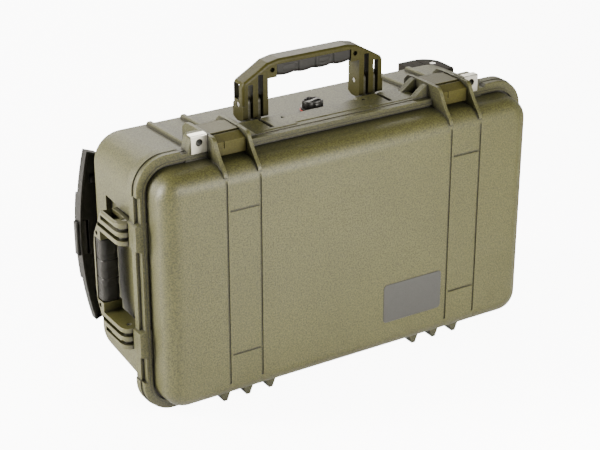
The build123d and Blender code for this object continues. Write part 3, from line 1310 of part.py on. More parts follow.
def make_hub(level):
    """Hub with a seat for a bearing on each side."""
    z = wheel_centre_z(level)
    half = WHEEL_WIDTH / 2
    hub = rod_z(WHEEL_X, wheel_y(), z - half, z + half, WHEEL_RADIUS - TYRE_THICKNESS)
    cuts = [rod_z(WHEEL_X, wheel_y(), z - half - 1.0, z + half + 1.0, AXLE_RADIUS + 1.5)]
    for face in SIDES:
        cuts.append(rod_z(WHEEL_X, wheel_y(), z + face * (half - BEARING_WIDTH), z + face * (half + 1.0),
                          BEARING_RADIUS))
    return hub - cuts


def make_bearings(level):
    """Two ball bearings of one wheel, each as one ring."""
    z = wheel_centre_z(level)
    half = WHEEL_WIDTH / 2
    rings = []
    for face in SIDES:
        ring = rod_z(WHEEL_X, wheel_y(), z + face * (half - BEARING_WIDTH), z + face * half, BEARING_RADIUS)
        bore = rod_z(WHEEL_X, wheel_y(), z + face * (half - BEARING_WIDTH - 1.0), z + face * (half + 1.0),
                     AXLE_RADIUS + AXLE_GAP)
        rings.append(ring - bore)
    return Compound(children=rings)


# ---- foam ---------------------------------------------------------------------------------
def pocket_bulges():
    """Walls of the end recess and the wheel pockets that stand into the base's inside."""
    bulges = [end_recess(WALL + SOFT_GAP)]
    for level in SIDES:
        bulges.append(wheel_pocket(level, WALL + SOFT_GAP))
    return bulges


def base_inside(start, depth):
    """Rounded block that fills the base's inside between two depths behind the parting plane."""
    gap = WALL + SOFT_GAP
    inside = drafted_block(BACKWARD, BASE_HALF_LENGTH - gap, BASE_HALF_HEIGHT - gap, BASE_CORNER - gap,
                           BASE_DEPTH - gap, BASE_EDGE_ROUND - gap)
    band = box(-BASE_HALF_LENGTH, BASE_HALF_LENGTH, PARTING_Y + start, PARTING_Y + start + depth,
               MID_Z - BASE_HALF_HEIGHT, MID_Z + BASE_HALF_HEIGHT)
    return (inside & band) - pocket_bulges()


def foam_insert_start():
    """Depth behind the parting plane where the laptop insert begins."""
    return BASE_DEPTH - WALL - 2 * SOFT_GAP - FOAM_FLOOR - LAPTOP_DEPTH


def make_foam_floor():
    """Thick foam block on the base's floor, under the laptop."""
    return base_inside(foam_insert_start() + LAPTOP_DEPTH + SOFT_GAP, FOAM_FLOOR + SOFT_GAP)


def make_foam_insert():
    """Foam frame round the laptop's pocket, with a finger cut-out at each end."""
    ring = base_inside(foam_insert_start(), LAPTOP_DEPTH)
    y0 = PARTING_Y + foam_insert_start() - 1.0
    y1 = y0 + LAPTOP_DEPTH + 2.0
    pocket = box(-LAPTOP_LENGTH / 2, LAPTOP_LENGTH / 2, y0, y1, MID_Z - LAPTOP_HEIGHT / 2,
                 MID_Z + LAPTOP_HEIGHT / 2)
    reach = LAPTOP_LENGTH / 2 + FINGER_REACH
    fingers = box(-reach, reach, y0, y1, MID_Z - FINGER_WIDTH / 2, MID_Z + FINGER_WIDTH / 2)
    recess_x = -(BASE_HALF_LENGTH - RECESS_FLOOR - WALL - SOFT_GAP)
    beside_recess = box(2 * recess_x, recess_x, y0, y1, MID_Z - BASE_HALF_HEIGHT, MID_Z + BASE_HALF_HEIGHT)
    stem = rod_z(0, PARTING_Y + VALVE_BACK, MID_Z + LAPTOP_HEIGHT / 2, RIB_TOP_Z,
                 VALVE_STEM_RADIUS + SOFT_GAP)
    return ring - [pocket, fingers, beside_recess, stem]


def make_lid_foam():
    """Foam sheet in the lid."""
    gap = WALL + SOFT_GAP
    inside = drafted_block(FORWARD, LID_HALF_LENGTH - gap, LID_HALF_HEIGHT - gap, LID_CORNER - gap,
                           LID_DEPTH - gap,
                           LID_EDGE_ROUND - gap)
    y0 = FRONT_Y + WALL
    band = box(-LID_HALF_LENGTH, LID_HALF_LENGTH, y0, y0 + LID_FOAM_DEPTH, MID_Z - LID_HALF_HEIGHT,
               MID_Z + LID_HALF_HEIGHT)
    return inside & band


# ---- write --------------------------------------------------------------------------------
def build_nodes():
    """All pieces by node name."""
    top = (TOP_LEG_INNER, TOP_LEG_OUTER, TOP_HANDLE_HEIGHT, HANDLE_THICKNESS, HANDLE_FOOT_DROP)
    side = (SIDE_LEG_INNER, SIDE_LEG_OUTER, SIDE_HANDLE_HEIGHT, SIDE_HANDLE_THICKNESS, 0.0)
    nodes = {
        "base_shell": make_base_shell(),
        "lid_shell": make_lid_shell(),
        "lid_seal": make_lid_seal(),
        "name_plate": make_name_plate(),
        "hinge_pins": make_hinge_pins(),
        "latch_pins": make_latch_pins(),
        "top_handle_frame": place_top(handle_frame(*top)),
        "top_handle_grip": place_top(grip_blank(TOP_LEG_INNER, TOP_HANDLE_HEIGHT, GRIP_THICKNESS)),
        "top_handle_pins": make_handle_pins(place_top, TOP_LEG_INNER, TOP_LEG_OUTER),
        "side_handle_frame": place_side(handle_frame(*side)),
        "side_handle_grip": place_side(grip_blank(SIDE_LEG_INNER, SIDE_HANDLE_HEIGHT, GRIP_THICKNESS)),
        "side_handle_pins": make_handle_pins(place_side, SIDE_LEG_INNER, SIDE_LEG_OUTER),
        "valve_body": make_valve_body(),
        "valve_seal": make_valve_seal(),
        "valve_knob": make_valve_knob(),
        "trolley_outer_tubes": make_trolley_tubes(0),
        "trolley_middle_tubes": make_trolley_tubes(1),
        "trolley_inner_tubes": make_trolley_tubes(2),
        "trolley_guide": make_trolley_guide(),
        "trolley_end_bracket": make_trolley_end_bracket(),
        "trolley_screws": make_trolley_screws(),
        "trolley_grip": make_trolley_grip(),
        "trolley_button": make_trolley_button(),
        "housing_screws": make_housing_screws(),
        "foam_floor": make_foam_floor(),
        "foam_insert": make_foam_insert(),
        "lid_foam": make_lid_foam(),
    }
    for name, sign in (("left", -1), ("right", 1)):
        nodes[f"padlock_plate_{name}"] = make_padlock_plate(sign)
        nodes[f"latch_claw_{name}"] = make_latch_claw(sign)
        nodes[f"latch_lever_{name}"] = make_latch_lever(sign)
        nodes[f"lever_pin_{name}"] = make_lever_pin(sign)
    for name, level in (("upper", 1), ("lower", -1)):
        nodes[f"wheel_housing_{name}"] = make_wheel_housing(level)
        nodes[f"wheel_axle_{name}"] = make_axle(level)
        nodes[f"wheel_tyre_{name}"] = make_tyre(level)
        nodes[f"wheel_hub_{name}"] = make_hub(level)
        nodes[f"wheel_bearings_{name}"] = make_bearings(level)
    return nodes


os.makedirs("parts", exist_ok=True)
for node, solid in build_nodes().items():
    export_step(solid, f"parts/{node}.step")
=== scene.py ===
from math import cos, exp, hypot, pi, radians, sin

import bmesh
import bpy
from mathutils import Matrix, Vector


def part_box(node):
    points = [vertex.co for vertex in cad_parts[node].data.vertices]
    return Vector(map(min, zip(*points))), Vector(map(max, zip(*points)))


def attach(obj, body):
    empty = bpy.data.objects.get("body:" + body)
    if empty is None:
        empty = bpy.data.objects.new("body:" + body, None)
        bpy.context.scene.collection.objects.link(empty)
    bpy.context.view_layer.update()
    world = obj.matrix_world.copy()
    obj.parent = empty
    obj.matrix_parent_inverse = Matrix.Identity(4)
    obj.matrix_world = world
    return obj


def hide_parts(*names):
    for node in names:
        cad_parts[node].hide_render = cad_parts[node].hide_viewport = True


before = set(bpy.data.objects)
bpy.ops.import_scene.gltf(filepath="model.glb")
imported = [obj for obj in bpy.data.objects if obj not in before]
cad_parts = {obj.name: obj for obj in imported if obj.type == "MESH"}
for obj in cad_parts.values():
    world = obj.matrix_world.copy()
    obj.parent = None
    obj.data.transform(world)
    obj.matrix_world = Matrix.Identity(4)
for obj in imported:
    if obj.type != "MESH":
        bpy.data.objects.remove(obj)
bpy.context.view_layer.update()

# ---- Floor, lamps and camera ------------------------------------------------------------
# A pale seamless floor that glows like a light table, under dark air that shades the rounded
# edges. Soft warm lamps stand in front, close before the lid, to the left and behind.
FLOOR_REACH = 12.0
FLOOR_GLOW = 9.0
AIR_COLOUR = (1.0, 0.975, 0.90, 1)
AIR_LOW_LEVEL, AIR_HIGH_LEVEL = 0.35, 0.75
AIR_LOW_GLOW, AIR_HIGH_GLOW = 0.78, 0.10
LAMP_COLOUR = (1.0, 0.955, 0.87)
CAMERA_TARGET = Vector((-0.0811, -0.1145, 0.2214))
CAMERA_AZIMUTH = radians(-31.70)
CAMERA_ELEVATION = radians(24.71)
CAMERA_DISTANCE = 1.8678
CAMERA_LENS = 97.07
CAMERA_SENSOR_WIDTH = 36.0
PAPER_COLOUR = (0.93, 0.93, 0.93, 1)
PAPER_ROUGHNESS = 0.9

floor_mesh = bpy.data.meshes.new("floor")
floor_corners = [(-FLOOR_REACH, -FLOOR_REACH, 0), (FLOOR_REACH, -FLOOR_REACH, 0),
                 (FLOOR_REACH, FLOOR_REACH, 0), (-FLOOR_REACH, FLOOR_REACH, 0)]
floor_mesh.from_pydata(floor_corners, [], [(0, 1, 2, 3)])
floor = bpy.data.objects.new("floor", floor_mesh)
bpy.context.scene.collection.objects.link(floor)
floor_paper = bpy.data.materials.new("pale paper")
floor_paper.use_nodes = True
paper_shader = floor_paper.node_tree.nodes["Principled BSDF"]
paper_shader.inputs["Base Color"].default_value = PAPER_COLOUR
paper_shader.inputs["Roughness"].default_value = PAPER_ROUGHNESS
paper_shader.inputs["Emission Color"].default_value = (1, 1, 1, 1)
paper_shader.inputs["Emission Strength"].default_value = FLOOR_GLOW
floor_mesh.materials.append(floor_paper)
floor_only = bpy.data.collections.new("floor only")
floor_only.objects.link(floor)
floor.light_linking.receiver_collection = floor_only

air = bpy.data.worlds.new("studio air")
bpy.context.scene.world = air
air.use_nodes = True
air_nodes = air.node_tree.nodes
air_link = air.node_tree.links.new
air_height = air_nodes.new("ShaderNodeSeparateXYZ")
air_link(air_nodes.new("ShaderNodeTexCoord").outputs["Generated"], air_height.inputs["Vector"])
air_glow = air_nodes.new("ShaderNodeMapRange")
air_glow.interpolation_type = "SMOOTHSTEP"
air_glow.inputs["From Min"].default_value = AIR_LOW_LEVEL
air_glow.inputs["From Max"].default_value = AIR_HIGH_LEVEL
air_glow.inputs["To Min"].default_value = AIR_LOW_GLOW
air_glow.inputs["To Max"].default_value = AIR_HIGH_GLOW
air_link(air_height.outputs["Z"], air_glow.inputs["Value"])
air_link(air_glow.outputs["Result"], air_nodes["Background"].inputs["Strength"])
air_nodes["Background"].inputs["Color"].default_value = AIR_COLOUR


def studio_lamp(name, place, aim, width, height, watts):
    """A soft rectangle of light that the camera doesn't see."""
    lamp = bpy.data.lights.new(name, "AREA")
    lamp.shape = "RECTANGLE"
    lamp.size = width
    lamp.size_y = height
    lamp.energy = watts
    lamp.color = LAMP_COLOUR
    holder = bpy.data.objects.new(name, lamp)
    bpy.context.scene.collection.objects.link(holder)
    holder.location = place
    holder.visible_camera = False
    holder.rotation_euler = (Vector(aim) - Vector(place)).to_track_quat("-Z", "Y").to_euler()


studio_lamp("front lamp", place=(0, -2.2, 1.3), aim=(0, 0, 0.2), width=0.9, height=0.6, watts=50)
studio_lamp("low lamp", place=(0.16, -0.72, 0.36), aim=(-0.02, -0.1, 0.16), width=0.26, height=0.16,
            watts=3.6)
studio_lamp("left strip", place=(-1.9, 0.7, 0.8), aim=(-0.2, 0, 0.2), width=0.5, height=1.1, watts=98)
studio_lamp("back lamp", place=(0.4, 1.9, 1.3), aim=(0, 0, 0.3), width=2.2, height=0.7, watts=36)

camera_data = bpy.data.cameras.new("camera")
camera_data.lens = CAMERA_LENS
camera_data.sensor_width = CAMERA_SENSOR_WIDTH
camera = bpy.data.objects.new("camera", camera_data)
bpy.context.scene.collection.objects.link(camera)
toward_camera = Vector((sin(CAMERA_AZIMUTH) * cos(CAMERA_ELEVATION),
                        -cos(CAMERA_AZIMUTH) * cos(CAMERA_ELEVATION), sin(CAMERA_ELEVATION)))
camera.location = CAMERA_TARGET + CAMERA_DISTANCE * toward_camera
camera.rotation_euler = (-toward_camera).to_track_quat("-Z", "Y").to_euler()
bpy.context.scene.camera = camera

# ---- Base and lid shells ----------------------------------------------------------------
# Both halves are injection moulded from olive structural resin with a pebbled matt face.
# Edges are painted paler, partly as wear and partly as painted highlight, and painted shade darkens the
# inner corners and seams.
SHELL_COLOUR = (0.066, 0.0645, 0.0165)
GRAIN_CLEARED = (0.36, 0.64)
GRAIN_HEIGHT = 0.0004
DRIFT_SCALE = 8.0
DRIFT_NOISE = (0.3, 0.7)
DRIFT_TONES = (0.93, 1.07)
EDGE_ROUND = 0.0009
EDGE_SAMPLES = 4
EDGE_TURNS = (0.995, 0.86)
# Paler edges: partly wear, partly a painted highlight along the sharp edges.
EDGE_WEAR_AND_HIGHLIGHT_GAIN, EDGE_WEAR_AND_HIGHLIGHT_LIFT = 2.4, 0.03
# Painted shade: ambient occlusion at these reaches darkens the colour in corners, seams and recesses.
PAINTED_SHADE_REACHES = ((0.045, 0.45), (0.012, 0.30), (0.003, 0.12))
PAINTED_SHADE_SAMPLES = 5
PAINTED_SHADE_OPENNESS = (0.35, 0.97)
ROUGHNESS_SPREAD = 0.08


def plain_nodes(name):
    """A new material with its nodes, their linking call, its shader and Object coordinates."""
    material = bpy.data.materials.new(name)
    material.use_nodes = True
    nodes = material.node_tree.nodes
    return (material, nodes, material.node_tree.links.new, nodes["Principled BSDF"],
            nodes.new("ShaderNodeTexCoord").outputs["Object"])


def noise(nodes, link, place, scale, detail):
    """The value of a noise texture at a place."""
    texture = nodes.new("ShaderNodeTexNoise")
    texture.inputs["Scale"].default_value = scale
    texture.inputs["Detail"].default_value = detail
    link(place, texture.inputs["Vector"])
    return texture.outputs["Fac"]


def spread(nodes, link, value, from_min, from_max, to_min, to_max):
    """A value mapped from one range on another."""
    ranges = nodes.new("ShaderNodeMapRange")
    ranges.inputs["From Min"].default_value = from_min
    ranges.inputs["From Max"].default_value = from_max
    ranges.inputs["To Min"].default_value = to_min
    ranges.inputs["To Max"].default_value = to_max
    link(value, ranges.inputs["Value"])
    return ranges.outputs["Result"]


def two_tones(nodes, link, share, low, high):
    """A mix node between two colours; the share is of the second one."""
    mix = nodes.new("ShaderNodeMix")
    mix.data_type = "RGBA"
    mix.inputs["A"].default_value = (*low, 1)
    mix.inputs["B"].default_value = (*high, 1)
    link(share, mix.inputs["Factor"])
    return mix


def raised(nodes, link, height, strength, distance, shader, over=None):
    """Bump on the shader, over another bent normal if one is given."""
    bump = nodes.new("ShaderNodeBump")
    bump.inputs["Strength"].default_value = strength
    bump.inputs["Distance"].default_value = distance
    link(height, bump.inputs["Height"])
    if over is not None:
        link(over, bump.inputs["Normal"])
    link(bump.outputs["Normal"], shader.inputs["Normal"])


def moulded_resin(name, colour, roughness=0.5, pebble=300.0, speckle=0.16, relief=0.35,
                  edge_wear_and_highlight=0.35, painted_shade=0.75, gloss=0.9):
    """Pebbled moulding: fine two-tone grains, paler edges (partly wear, partly painted highlight), painted
    shade in the corners and rounded edge normals.
    """
    material, nodes, link, shader, place = plain_nodes(name)
    shader.inputs["Specular IOR Level"].default_value = gloss
    grains = noise(nodes, link, place, pebble, 2.0)
    clear_grains = spread(nodes, link, grains, *GRAIN_CLEARED, 0.0, 1.0)
    tint = two_tones(nodes, link, clear_grains, [c * (1 - speckle) for c in colour],
                     [c * (1 + speckle) for c in colour])
    drift_noise = noise(nodes, link, place, DRIFT_SCALE, 4.0)
    drift = spread(nodes, link, drift_noise, *DRIFT_NOISE, *DRIFT_TONES)

    rounded = nodes.new("ShaderNodeBevel")
    rounded.samples = EDGE_SAMPLES
    rounded.inputs["Radius"].default_value = EDGE_ROUND
    turned = nodes.new("ShaderNodeVectorMath")
    turned.operation = "DOT_PRODUCT"
    link(rounded.outputs["Normal"], turned.inputs[0])
    link(nodes.new("ShaderNodeNewGeometry").outputs["Normal"], turned.inputs[1])
    # Paler edges, partly wear and partly painted highlight, where the rounded normal turns away from the
    # true one.
    edge = spread(nodes, link, turned.outputs["Value"], *EDGE_TURNS, 0.0, edge_wear_and_highlight)
    worn_and_highlit = two_tones(nodes, link, edge, colour, [min(1.0, c * EDGE_WEAR_AND_HIGHLIGHT_GAIN + EDGE_WEAR_AND_HIGHLIGHT_LIFT) for c in colour])
    link(tint.outputs["Result"], worn_and_highlit.inputs["A"])

    # Painted shade: ambient occlusion at each reach darkens the colour, multiplied by a random drift of
    # tone.
    shade = []
    for reach, least in PAINTED_SHADE_REACHES:
        corner = nodes.new("ShaderNodeAmbientOcclusion")
        corner.samples = PAINTED_SHADE_SAMPLES
        corner.inputs["Distance"].default_value = reach
        darkest = 1.0 - painted_shade * (1 - least)
        shade.append(spread(nodes, link, corner.outputs["AO"], *PAINTED_SHADE_OPENNESS, darkest, 1.0))
    shade.append(drift)
    shade_and_drift = shade[0]
    for other in shade[1:]:
        product = nodes.new("ShaderNodeMath")
        product.operation = "MULTIPLY"
        link(shade_and_drift, product.inputs[0])
        link(other, product.inputs[1])
        shade_and_drift = product.outputs["Value"]
    shaded = nodes.new("ShaderNodeVectorMath")
    shaded.operation = "SCALE"
    link(worn_and_highlit.outputs["Result"], shaded.inputs[0])
    link(shade_and_drift, shaded.inputs["Scale"])
    link(shaded.outputs["Vector"], shader.inputs["Base Color"])
    link(spread(nodes, link, grains, 0.0, 1.0, roughness + ROUGHNESS_SPREAD, roughness - ROUGHNESS_SPREAD),
         shader.inputs["Roughness"])
    raised(nodes, link, grains, relief, GRAIN_HEIGHT, shader, rounded.outputs["Normal"])
    return material


def dress(material, *nodes):
    """Gives CAD nodes one material."""
    for node in nodes:
        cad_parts[node].data.materials.clear()
        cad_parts[node].data.materials.append(material)


dress(moulded_resin("olive shell resin", SHELL_COLOUR, pebble=560.0, speckle=0.42, relief=0.6,
                    painted_shade=0.95, gloss=0.7), "base_shell", "lid_shell")

# ---- Hinge, latch and handle pins -------------------------------------------------------
# Stainless rods pushed through the knuckles, latches and handle feet. The wheel axles,
# bearings and lever pins are the same bright drawn steel, with fine lines along the draw.
PIN_STEEL = (0.62, 0.61, 0.58)
DRAWN_ALONG_Z = (900.0, 900.0, 25.0)
DRAWN_ALONG_X = (30.0, 900.0, 900.0)
SCRATCH_RELIEF = 0.12
SCRATCH_HEIGHT = 0.0001
SCRATCH_SMOOTHER, SCRATCH_ROUGHER = 0.08, 0.10


def drawn_metal(name, colour, roughness=0.28, lines=DRAWN_ALONG_Z, stain=0.12):
    """Metal with fine scratches along one axis, where the scale of the pattern is small."""
    material, nodes, link, shader, place = plain_nodes(name)
    shader.inputs["Metallic"].default_value = 1.0
    stretch = nodes.new("ShaderNodeMapping")
    stretch.inputs["Scale"].default_value = lines
    link(place, stretch.inputs["Vector"])
    scratches = noise(nodes, link, stretch.outputs["Vector"], 1.0, 3.0)
    tint = two_tones(nodes, link, scratches, [c * (1 - stain) for c in colour], colour)
    link(tint.outputs["Result"], shader.inputs["Base Color"])
    link(spread(nodes, link, scratches, 0.0, 1.0, roughness - SCRATCH_SMOOTHER, roughness + SCRATCH_ROUGHER),
         shader.inputs["Roughness"])
    raised(nodes, link, scratches, SCRATCH_RELIEF, SCRATCH_HEIGHT, shader)
    return material


pin_steel = drawn_metal("pin steel", PIN_STEEL)
dress(pin_steel, "hinge_pins", "latch_pins", "lever_pin_left", "lever_pin_right", "top_handle_pins",
      "side_handle_pins", "wheel_axle_upper", "wheel_axle_lower", "wheel_bearings_upper",
      "wheel_bearings_lower")

# ---- Rim seal ---------------------------------------------------------------------------
# A foamed black rubber cord lies in the lid's rim groove and is squeezed when the latches
# close. It is a soft round section, joined into one loop.
SEAL_WIDTH = 0.004
SEAL_CORNER = 0.0414
SEAL_SECTION_POINTS = 14
SEAL_CORNER_STEPS = 14
SEAL_COLOUR = (0.022, 0.022, 0.021)
BLOOM_SCALE = 30.0
BLOOM_DARKER, BLOOM_LIGHTER = 0.8, 1.25
PORE_HEIGHT = 0.0002
SHARP_ANGLE = radians(50)


def soft_rubber(name, colour, roughness=0.62, pores=1400.0, relief=0.25, gloss=0.4):
    """Matt rubber or foam with fine pores and a slow bloom of lighter tone."""
    material, nodes, link, shader, place = plain_nodes(name)
    shader.inputs["Specular IOR Level"].default_value = gloss
    bloom = noise(nodes, link, place, BLOOM_SCALE, 4.0)
    tint = two_tones(nodes, link, bloom, [c * BLOOM_DARKER for c in colour],
                     [c * BLOOM_LIGHTER for c in colour])
    link(tint.outputs["Result"], shader.inputs["Base Color"])
    link(spread(nodes, link, bloom, 0.0, 1.0, roughness - ROUGHNESS_SPREAD, roughness + ROUGHNESS_SPREAD),
         shader.inputs["Roughness"])
    raised(nodes, link, noise(nodes, link, place, pores, 2.0), relief, PORE_HEIGHT, shader)
    return material


def new_piece(name, mesh, material, body, *stands_for):
    """An object that rides on a body, in place of the CAD nodes that it stands for."""
    mesh.materials.clear()
    mesh.materials.append(material)
    mesh.shade_smooth()
    mesh.set_sharp_from_angle(angle=SHARP_ANGLE)
    piece = bpy.data.objects.new(name, mesh)
    bpy.context.scene.collection.objects.link(piece)
    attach(piece, body)
    if stands_for:
        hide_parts(*stands_for)
    return piece


def ringed_mesh(name, rings, looped=False):
    """Skin over a row of equal rings of points, with flat ends unless it closes on itself."""
    mesh = bpy.data.meshes.new(name)
    form = bmesh.new()
    rows = [[form.verts.new(point) for point in ring] for ring in rings]
    for near, far in zip(rows, rows[1:] + rows[:1] if looped else rows[1:]):
        for index in range(len(near)):
            after = (index + 1) % len(near)
            form.faces.new((near[index], near[after], far[after], far[index]))
    if not looped:
        form.faces.new(rows[0])
        form.faces.new(list(reversed(rows[-1])))
    bmesh.ops.recalc_face_normals(form, faces=form.faces)
    form.to_mesh(mesh)
    form.free()
    return mesh


seal_low, seal_high = (Vector(corner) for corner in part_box("lid_seal"))
seal_mid = (seal_low + seal_high) / 2
seal_half = (seal_high - seal_low) / 2
seal_rings = []
for quarter in range(4):
    turn_x = (1, -1, -1, 1)[quarter]
    turn_z = (1, 1, -1, -1)[quarter]
    centre = Vector((turn_x * (seal_half.x - SEAL_WIDTH / 2 - SEAL_CORNER), 0,
                     seal_mid.z + turn_z * (seal_half.z - SEAL_WIDTH / 2 - SEAL_CORNER)))
    for step in range(SEAL_CORNER_STEPS + 1):
        angle = (quarter + step / SEAL_CORNER_STEPS) * pi / 2
        out = Vector((cos(angle), 0, sin(angle)))
        ring = []
        for index in range(SEAL_SECTION_POINTS):
            around = 2 * pi * index / SEAL_SECTION_POINTS
            ring.append(centre + (SEAL_CORNER + SEAL_WIDTH / 2 * cos(around)) * out
                        + Vector((0, seal_mid.y + seal_half.y * sin(around), 0)))
        seal_rings.append(ring)
new_piece("rim_seal_cord", ringed_mesh("rim seal cord", seal_rings, looped=True),
          soft_rubber("foamed seal rubber", SEAL_COLOUR), "lid", "lid_seal")

# ---- Name plate -------------------------------------------------------------------------
# A thin plate of dark grey film-faced metal, cut with square corners and stuck in a shallow
# recess of the lid. It is bare.
PLATE_COLOUR = (0.024, 0.024, 0.0232)
dress(moulded_resin("bare plate grey", PLATE_COLOUR, roughness=0.42, pebble=900.0, speckle=0.10,
                    relief=0.10, edge_wear_and_highlight=0.15, painted_shade=0.2), "name_plate")

# ---- Latches ----------------------------------------------------------------------------
# Double-throw latches of glossy olive nylon: the claw swings on the base's ribs and the
# lever is pinned in its front. Both have sharper edges and a smoother face than the shells.
LATCH_COLOUR = (0.060, 0.054, 0.0095)
dress(moulded_resin("olive latch nylon", LATCH_COLOUR, roughness=0.45, pebble=520.0, speckle=0.14,
                    relief=0.2, edge_wear_and_highlight=0.5, gloss=0.22),
      "latch_claw_left", "latch_claw_right", "latch_lever_left", "latch_lever_right")

# ---- Padlock plates ---------------------------------------------------------------------
# Stainless sheet folded over the lid's tabs and punched for a padlock's shackle. It is
# pressed on, keeps its rolled grain and guards the resin behind it.
PADLOCK_STEEL = (0.80, 0.78, 0.70)
ROLLED_ALONG_X = (60.0, 900.0, 900.0)
dress(drawn_metal("padlock plate steel", PADLOCK_STEEL, roughness=0.32, lines=ROLLED_ALONG_X),
      "padlock_plate_left", "padlock_plate_right")

# ---- Folding handles --------------------------------------------------------------------
# Each handle is one olive nylon moulding with forked feet, and a dark rubber grip moulded
# under its band. The grip has finger waves below and thin seams between its lobes.
HANDLE_COLOUR = (0.040, 0.0365, 0.0062)
# Painted light: the side handle is the same olive nylon as the top handle, made lighter for the light that
# falls on its arms from the left.
SIDE_HANDLE_LIT_COLOUR = (0.080, 0.077, 0.023)
TOP_GRIP_COLOUR = (0.014, 0.0136, 0.0127)
SIDE_GRIP_COLOUR = (0.014, 0.0135, 0.012)
GRIP_RING_PITCH = 0.0008
GRIP_SEAM_DEPTH = 0.0009
GRIP_SEAM_WIDTH = 0.0007
GRIP_END_REACH = 0.0012
GRIP_END_ROUND = 0.0008
GRIP_LOBE_RELIEF = 0.0006
GRIP_LOBE_EDGE = 0.0006
GRIP_UPPER_ROUND = 0.0015
GRIP_LOWER_ROUND = 0.0065
GRIP_ARC_POINTS = 8
GRIP_SIDE_POINTS = 8
GRIP_FLAT_POINTS = 6
GRIP_THICKNESS = 0.022
GRIP_WAVE = 0.0016
GRIP_WAVES = 4
GRIP_LOBE_SKIN = 0.002
TOP_PIVOT = Vector((0, -0.004, 0.338))
TOP_GRIP_HALF_LENGTH = 0.0516
TOP_GRIP_LOW, TOP_GRIP_HIGH = 0.029, 0.0445
TOP_GRIP_SEAMS = (-0.021, 0.0027, 0.0281)
TOP_GRIP_LOBES = ((-0.040, -0.028, 0.037, 0.0035), (0.010, 0.020, 0.038, 0.003))
SIDE_PIVOT_Y, SIDE_PIVOT_Z = -0.0425, 0.165
SIDE_GRIP_HALF_LENGTH = 0.0406
SIDE_GRIP_LOW, SIDE_GRIP_HIGH = 0.0415, 0.057
SIDE_GRIP_SEAMS = (-0.0135, 0.0105)
SIDE_GRIP_LOBES = ((-0.034, -0.024, 0.049, 0.003), (0.020, 0.030, 0.049, 0.003))
dress(moulded_resin("olive handle nylon", HANDLE_COLOUR, roughness=0.40, pebble=420.0, speckle=0.14,
                    relief=0.2, edge_wear_and_highlight=0.6, painted_shade=0.9, gloss=0.22), "top_handle_frame")
# Painted light: a lighter copy of the handle nylon for the side handle's lit arms.
dress(moulded_resin("lit copy of handle nylon", SIDE_HANDLE_LIT_COLOUR, roughness=0.36, pebble=420.0, speckle=0.12,
                    relief=0.2, edge_wear_and_highlight=0.8, painted_shade=0.9, gloss=0.8), "side_handle_frame")


def grip_section(half_y, low, high):
    """Closed outline of the grip: tight rounds at the band, wide ones below, and split flats."""
    corners = ((1, 1, GRIP_UPPER_ROUND, 0), (-1, 1, GRIP_UPPER_ROUND, 90),
               (-1, -1, GRIP_LOWER_ROUND, 180), (1, -1, GRIP_LOWER_ROUND, 270))
    outline = []
    for side_y, side_z, radius, start in corners:
        centre_y = side_y * (half_y - radius)
        centre_z = high - radius if side_z > 0 else low + radius
        for part in range(GRIP_ARC_POINTS):
            angle = radians(start + 90 * part / (GRIP_ARC_POINTS - 1))
            outline.append((centre_y + radius * cos(angle), centre_z + radius * sin(angle)))
    section = []
    for index, (y, z) in enumerate(outline):
        next_y, next_z = outline[(index + 1) % len(outline)]
        section.append((y, z))
        if index % GRIP_ARC_POINTS == GRIP_ARC_POINTS - 1:
            upright = index // GRIP_ARC_POINTS % 2 == 1
            pieces = GRIP_SIDE_POINTS if upright else GRIP_FLAT_POINTS
            for cut in range(1, pieces):
                section.append((y + (next_y - y) * cut / pieces, z + (next_z - z) * cut / pieces))
    return section


def grip_mesh(name, half_length, low, high, seams, lobes, to_case):
    """Lofted grip in the handle's own frame: X along the grip and Z away from the pins.

    Each lobe is an outline pressed into both sides: its two ends along X, its Z and its radius.
    """
    steps = int(2 * half_length / GRIP_RING_PITCH)
    pitch = 2 * half_length / GRIP_WAVES
    rings = []
    for step in range(steps + 1):
        x = -half_length + 2 * half_length * step / steps
        phase = ((x + half_length) % pitch) / pitch
        end = min(1.0, (half_length - abs(x)) / GRIP_END_REACH)
        inset = GRIP_END_ROUND * (1 - end) ** 2
        for seam in seams:
            inset += GRIP_SEAM_DEPTH * exp(-((x - seam) / GRIP_SEAM_WIDTH) ** 2)
        half_y = GRIP_THICKNESS / 2 - inset
        ring = []
        for y, z in grip_section(half_y, low - GRIP_WAVE * sin(pi * phase) + inset, high):
            for lobe_start, lobe_end, lobe_z, lobe_radius in lobes:
                if abs(y) > half_y - GRIP_LOBE_SKIN:
                    reach = hypot(x - min(max(x, lobe_start), lobe_end), z - lobe_z)
                    dent = GRIP_LOBE_RELIEF * exp(-((reach - lobe_radius) / GRIP_LOBE_EDGE) ** 2)
                    y -= dent if y > 0 else -dent
            ring.append(to_case @ Vector((x, y, z)))
        rings.append(ring)
    return ringed_mesh(name, rings)


top_grip = grip_mesh("top handle rubber", TOP_GRIP_HALF_LENGTH, TOP_GRIP_LOW, TOP_GRIP_HIGH, TOP_GRIP_SEAMS,
                     TOP_GRIP_LOBES, Matrix.Translation(TOP_PIVOT))
new_piece("top_handle_rubber", top_grip, soft_rubber("grey grip rubber", TOP_GRIP_COLOUR, roughness=0.55),
          "top_handle", "top_handle_grip")
side_low, side_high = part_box("side_handle_grip")
side_pivot = Vector(((side_low[0] + side_high[0]) / 2, SIDE_PIVOT_Y, SIDE_PIVOT_Z))
side_turn = Matrix(((0, -1, 0, side_pivot.x), (0, 0, 1, side_pivot.y), (-1, 0, 0, side_pivot.z),
                    (0, 0, 0, 1)))
side_grip = grip_mesh("side handle rubber", SIDE_GRIP_HALF_LENGTH, SIDE_GRIP_LOW, SIDE_GRIP_HIGH,
                      SIDE_GRIP_SEAMS, SIDE_GRIP_LOBES, side_turn)
